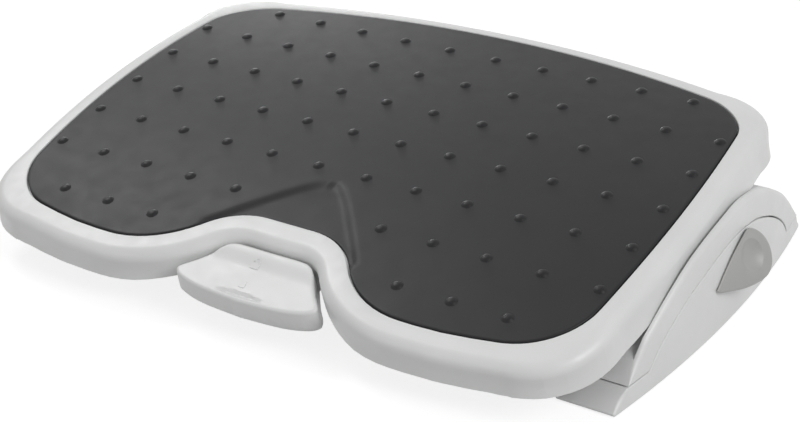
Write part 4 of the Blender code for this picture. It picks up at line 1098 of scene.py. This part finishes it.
def make_screws():
    work = bmesh.new()
    tip = PAN_BOTTOM + SCREW_PROFILE[-1][1]
    for x, y in SCREW_PLACES:
        head = skin([[(a, b, PAN_BOTTOM + low) for a, b in circle(x, y, radius, 24)]
                     for radius, low in SCREW_PROFILE], on_platform)
        for wide, long in ((RECESS_LONG, RECESS_HALF), (RECESS_HALF, RECESS_LONG)):
            cross_bar = box_outline(x - wide, y - long, x + wide, y + long)
            head = carved(head, slab(cross_bar, tip - 1.0, tip + RECESS_DEEP, on_platform))
        gather(work, head)
    return make("pan_screws", work, steel, "platform")


make_screws()
print(len(SCREW_PLACES), "screws hold the pan")

# %% [markdown]
# ## Materials for the CAD pieces that stay
# The pan, bearing blocks, shaft, tubes, lock and bolts already have the right shapes, so they only
# get their finishes here.

# %% Materials on CAD pieces
FINISHES = {"light_grey_abs": light_abs, "grey_abs": knob_abs, "dark_rubber": pad_rubber,
            "zinc_plated_steel": steel, "white_nylon": nylon}
slots = {entry["node"]: entry["material_slot"] for entry in frame["record"]["subparts"]}
for name, node in frame["nodes"].items():
    node.data.materials.clear()
    node.data.materials.append(FINISHES[slots[name]])
print(len(slots), "CAD pieces have their finishes")

# %% [markdown]
# ## The background
# The photograph was taken on seamless white: the background is pure white. A white world bright
# enough for that would light the footrest flat, so the rays are told apart. The camera, mirror and
# glass rays see a world of pure white, and all others see a dimmer one, which fills the shadows.

# %% World
WORLD_LIGHT = 0.37
world = bpy.data.worlds.new("white studio")
scene.world = world
world.use_nodes = True
world.node_tree.nodes.clear()


def seen_directly(tree):
    """1 for rays from the camera, mirrors and glass."""
    rays = add(tree, "ShaderNodeLightPath").outputs
    first = add(tree, "ShaderNodeMath", {}, {0: rays["Is Camera Ray"], 1: rays["Is Glossy Ray"]},
                operation="MAXIMUM")
    return add(tree, "ShaderNodeMath", {}, {0: first.outputs[0], 1: rays["Is Transmission Ray"]},
               operation="MAXIMUM").outputs[0]


dim = add(world.node_tree, "ShaderNodeBackground", {"Color": (1, 1, 1, 1), "Strength": WORLD_LIGHT})
bright = add(world.node_tree, "ShaderNodeBackground", {"Color": (1, 1, 1, 1), "Strength": 1.0})
either = add(world.node_tree, "ShaderNodeMixShader", {},
             {0: seen_directly(world.node_tree), 1: dim.outputs[0], 2: bright.outputs[0]})
add(world.node_tree, "ShaderNodeOutputWorld", {}, {"Surface": either.outputs[0]})
scene.view_settings.view_transform = "Standard"
print("world light:", WORLD_LIGHT)

# %% [markdown]
# ## The floor
# The floor is white paper, and the footrest throws only a faint shadow on it. Seen directly, the
# paper mixes a little diffuse white, which takes the shadow, with a glow that keeps it white. To
# all other rays it is plain grey paper, so it doesn't light the footrest too strongly from below.

# %% Floor
FLOOR_SIZE = 12000.0
FLOOR_BOUNCE = 0.5
FLOOR_SHADE = 0.3
FLOOR_GLOW = 0.82
floor_mesh = bpy.data.meshes.new("floor")
half = FLOOR_SIZE / 2 * MM
floor_mesh.from_pydata([(a, b, 0) for a, b in box_outline(-half, -half, half, half)], [], [(0, 1, 2, 3)])
floor = bpy.data.objects.new("floor", floor_mesh)
scene.collection.objects.link(floor)
paper, tree = new_material("white_paper_floor")
diffuse = add(tree, "ShaderNodeBsdfDiffuse", {"Color": (FLOOR_BOUNCE, FLOOR_BOUNCE, FLOOR_BOUNCE, 1)})
shadowed = add(tree, "ShaderNodeBsdfDiffuse", {"Color": (FLOOR_SHADE, FLOOR_SHADE, FLOOR_SHADE, 1)})
glow = add(tree, "ShaderNodeEmission", {"Color": (1, 1, 1, 1), "Strength": FLOOR_GLOW})
both = add(tree, "ShaderNodeAddShader", {}, {0: shadowed.outputs[0], 1: glow.outputs[0]})
ground = add(tree, "ShaderNodeMixShader", {}, {0: seen_directly(tree), 1: diffuse.outputs[0], 2: both.outputs[0]})
add(tree, "ShaderNodeOutputMaterial", {}, {"Surface": ground.outputs[0]})
floor_mesh.materials.append(paper)
print("floor is", FLOOR_SIZE * MM, "m wide")

# %% [markdown]
# ## The lamps
# A photographer would set soft boxes round the object. A round area lamp high on the left shapes
# the rim, a low one at the back left catches the domes of the mat, a wide one fills the right side
# and a weak one the front. A large lamp gives soft shadow edges and a small one crisp ones.

# %% Lamps
LAMPS = [("key_left", (-1.5, 0.4, 1.9), (0, 0, 0.05), 0.8, 13),
         ("rim_back_left", (-1.9, 2.0, 0.75), (0, 0, 0.1), 0.7, 9),
         ("fill_right", (2.0, -0.4, 1.4), (0.2, 0, 0.05), 1.2, 25),
         ("fill_front", (-0.8, -2.3, 0.65), (0, 0, 0.05), 1.6, 9)]


def lamp(name, place, target, size, power):
    """A round area lamp at a place, aimed at a target, all in metres, with its power in watts."""
    data = bpy.data.lights.new(name, "AREA")
    data.shape = "DISK"
    data.size = size
    data.energy = power
    made = bpy.data.objects.new(name, data)
    scene.collection.objects.link(made)
    made.location = place
    made.rotation_euler = (Vector(target) - Vector(place)).to_track_quat("-Z", "Y").to_euler()


for settings in LAMPS:
    lamp(*settings)
print(len(LAMPS), "lamps are lit")
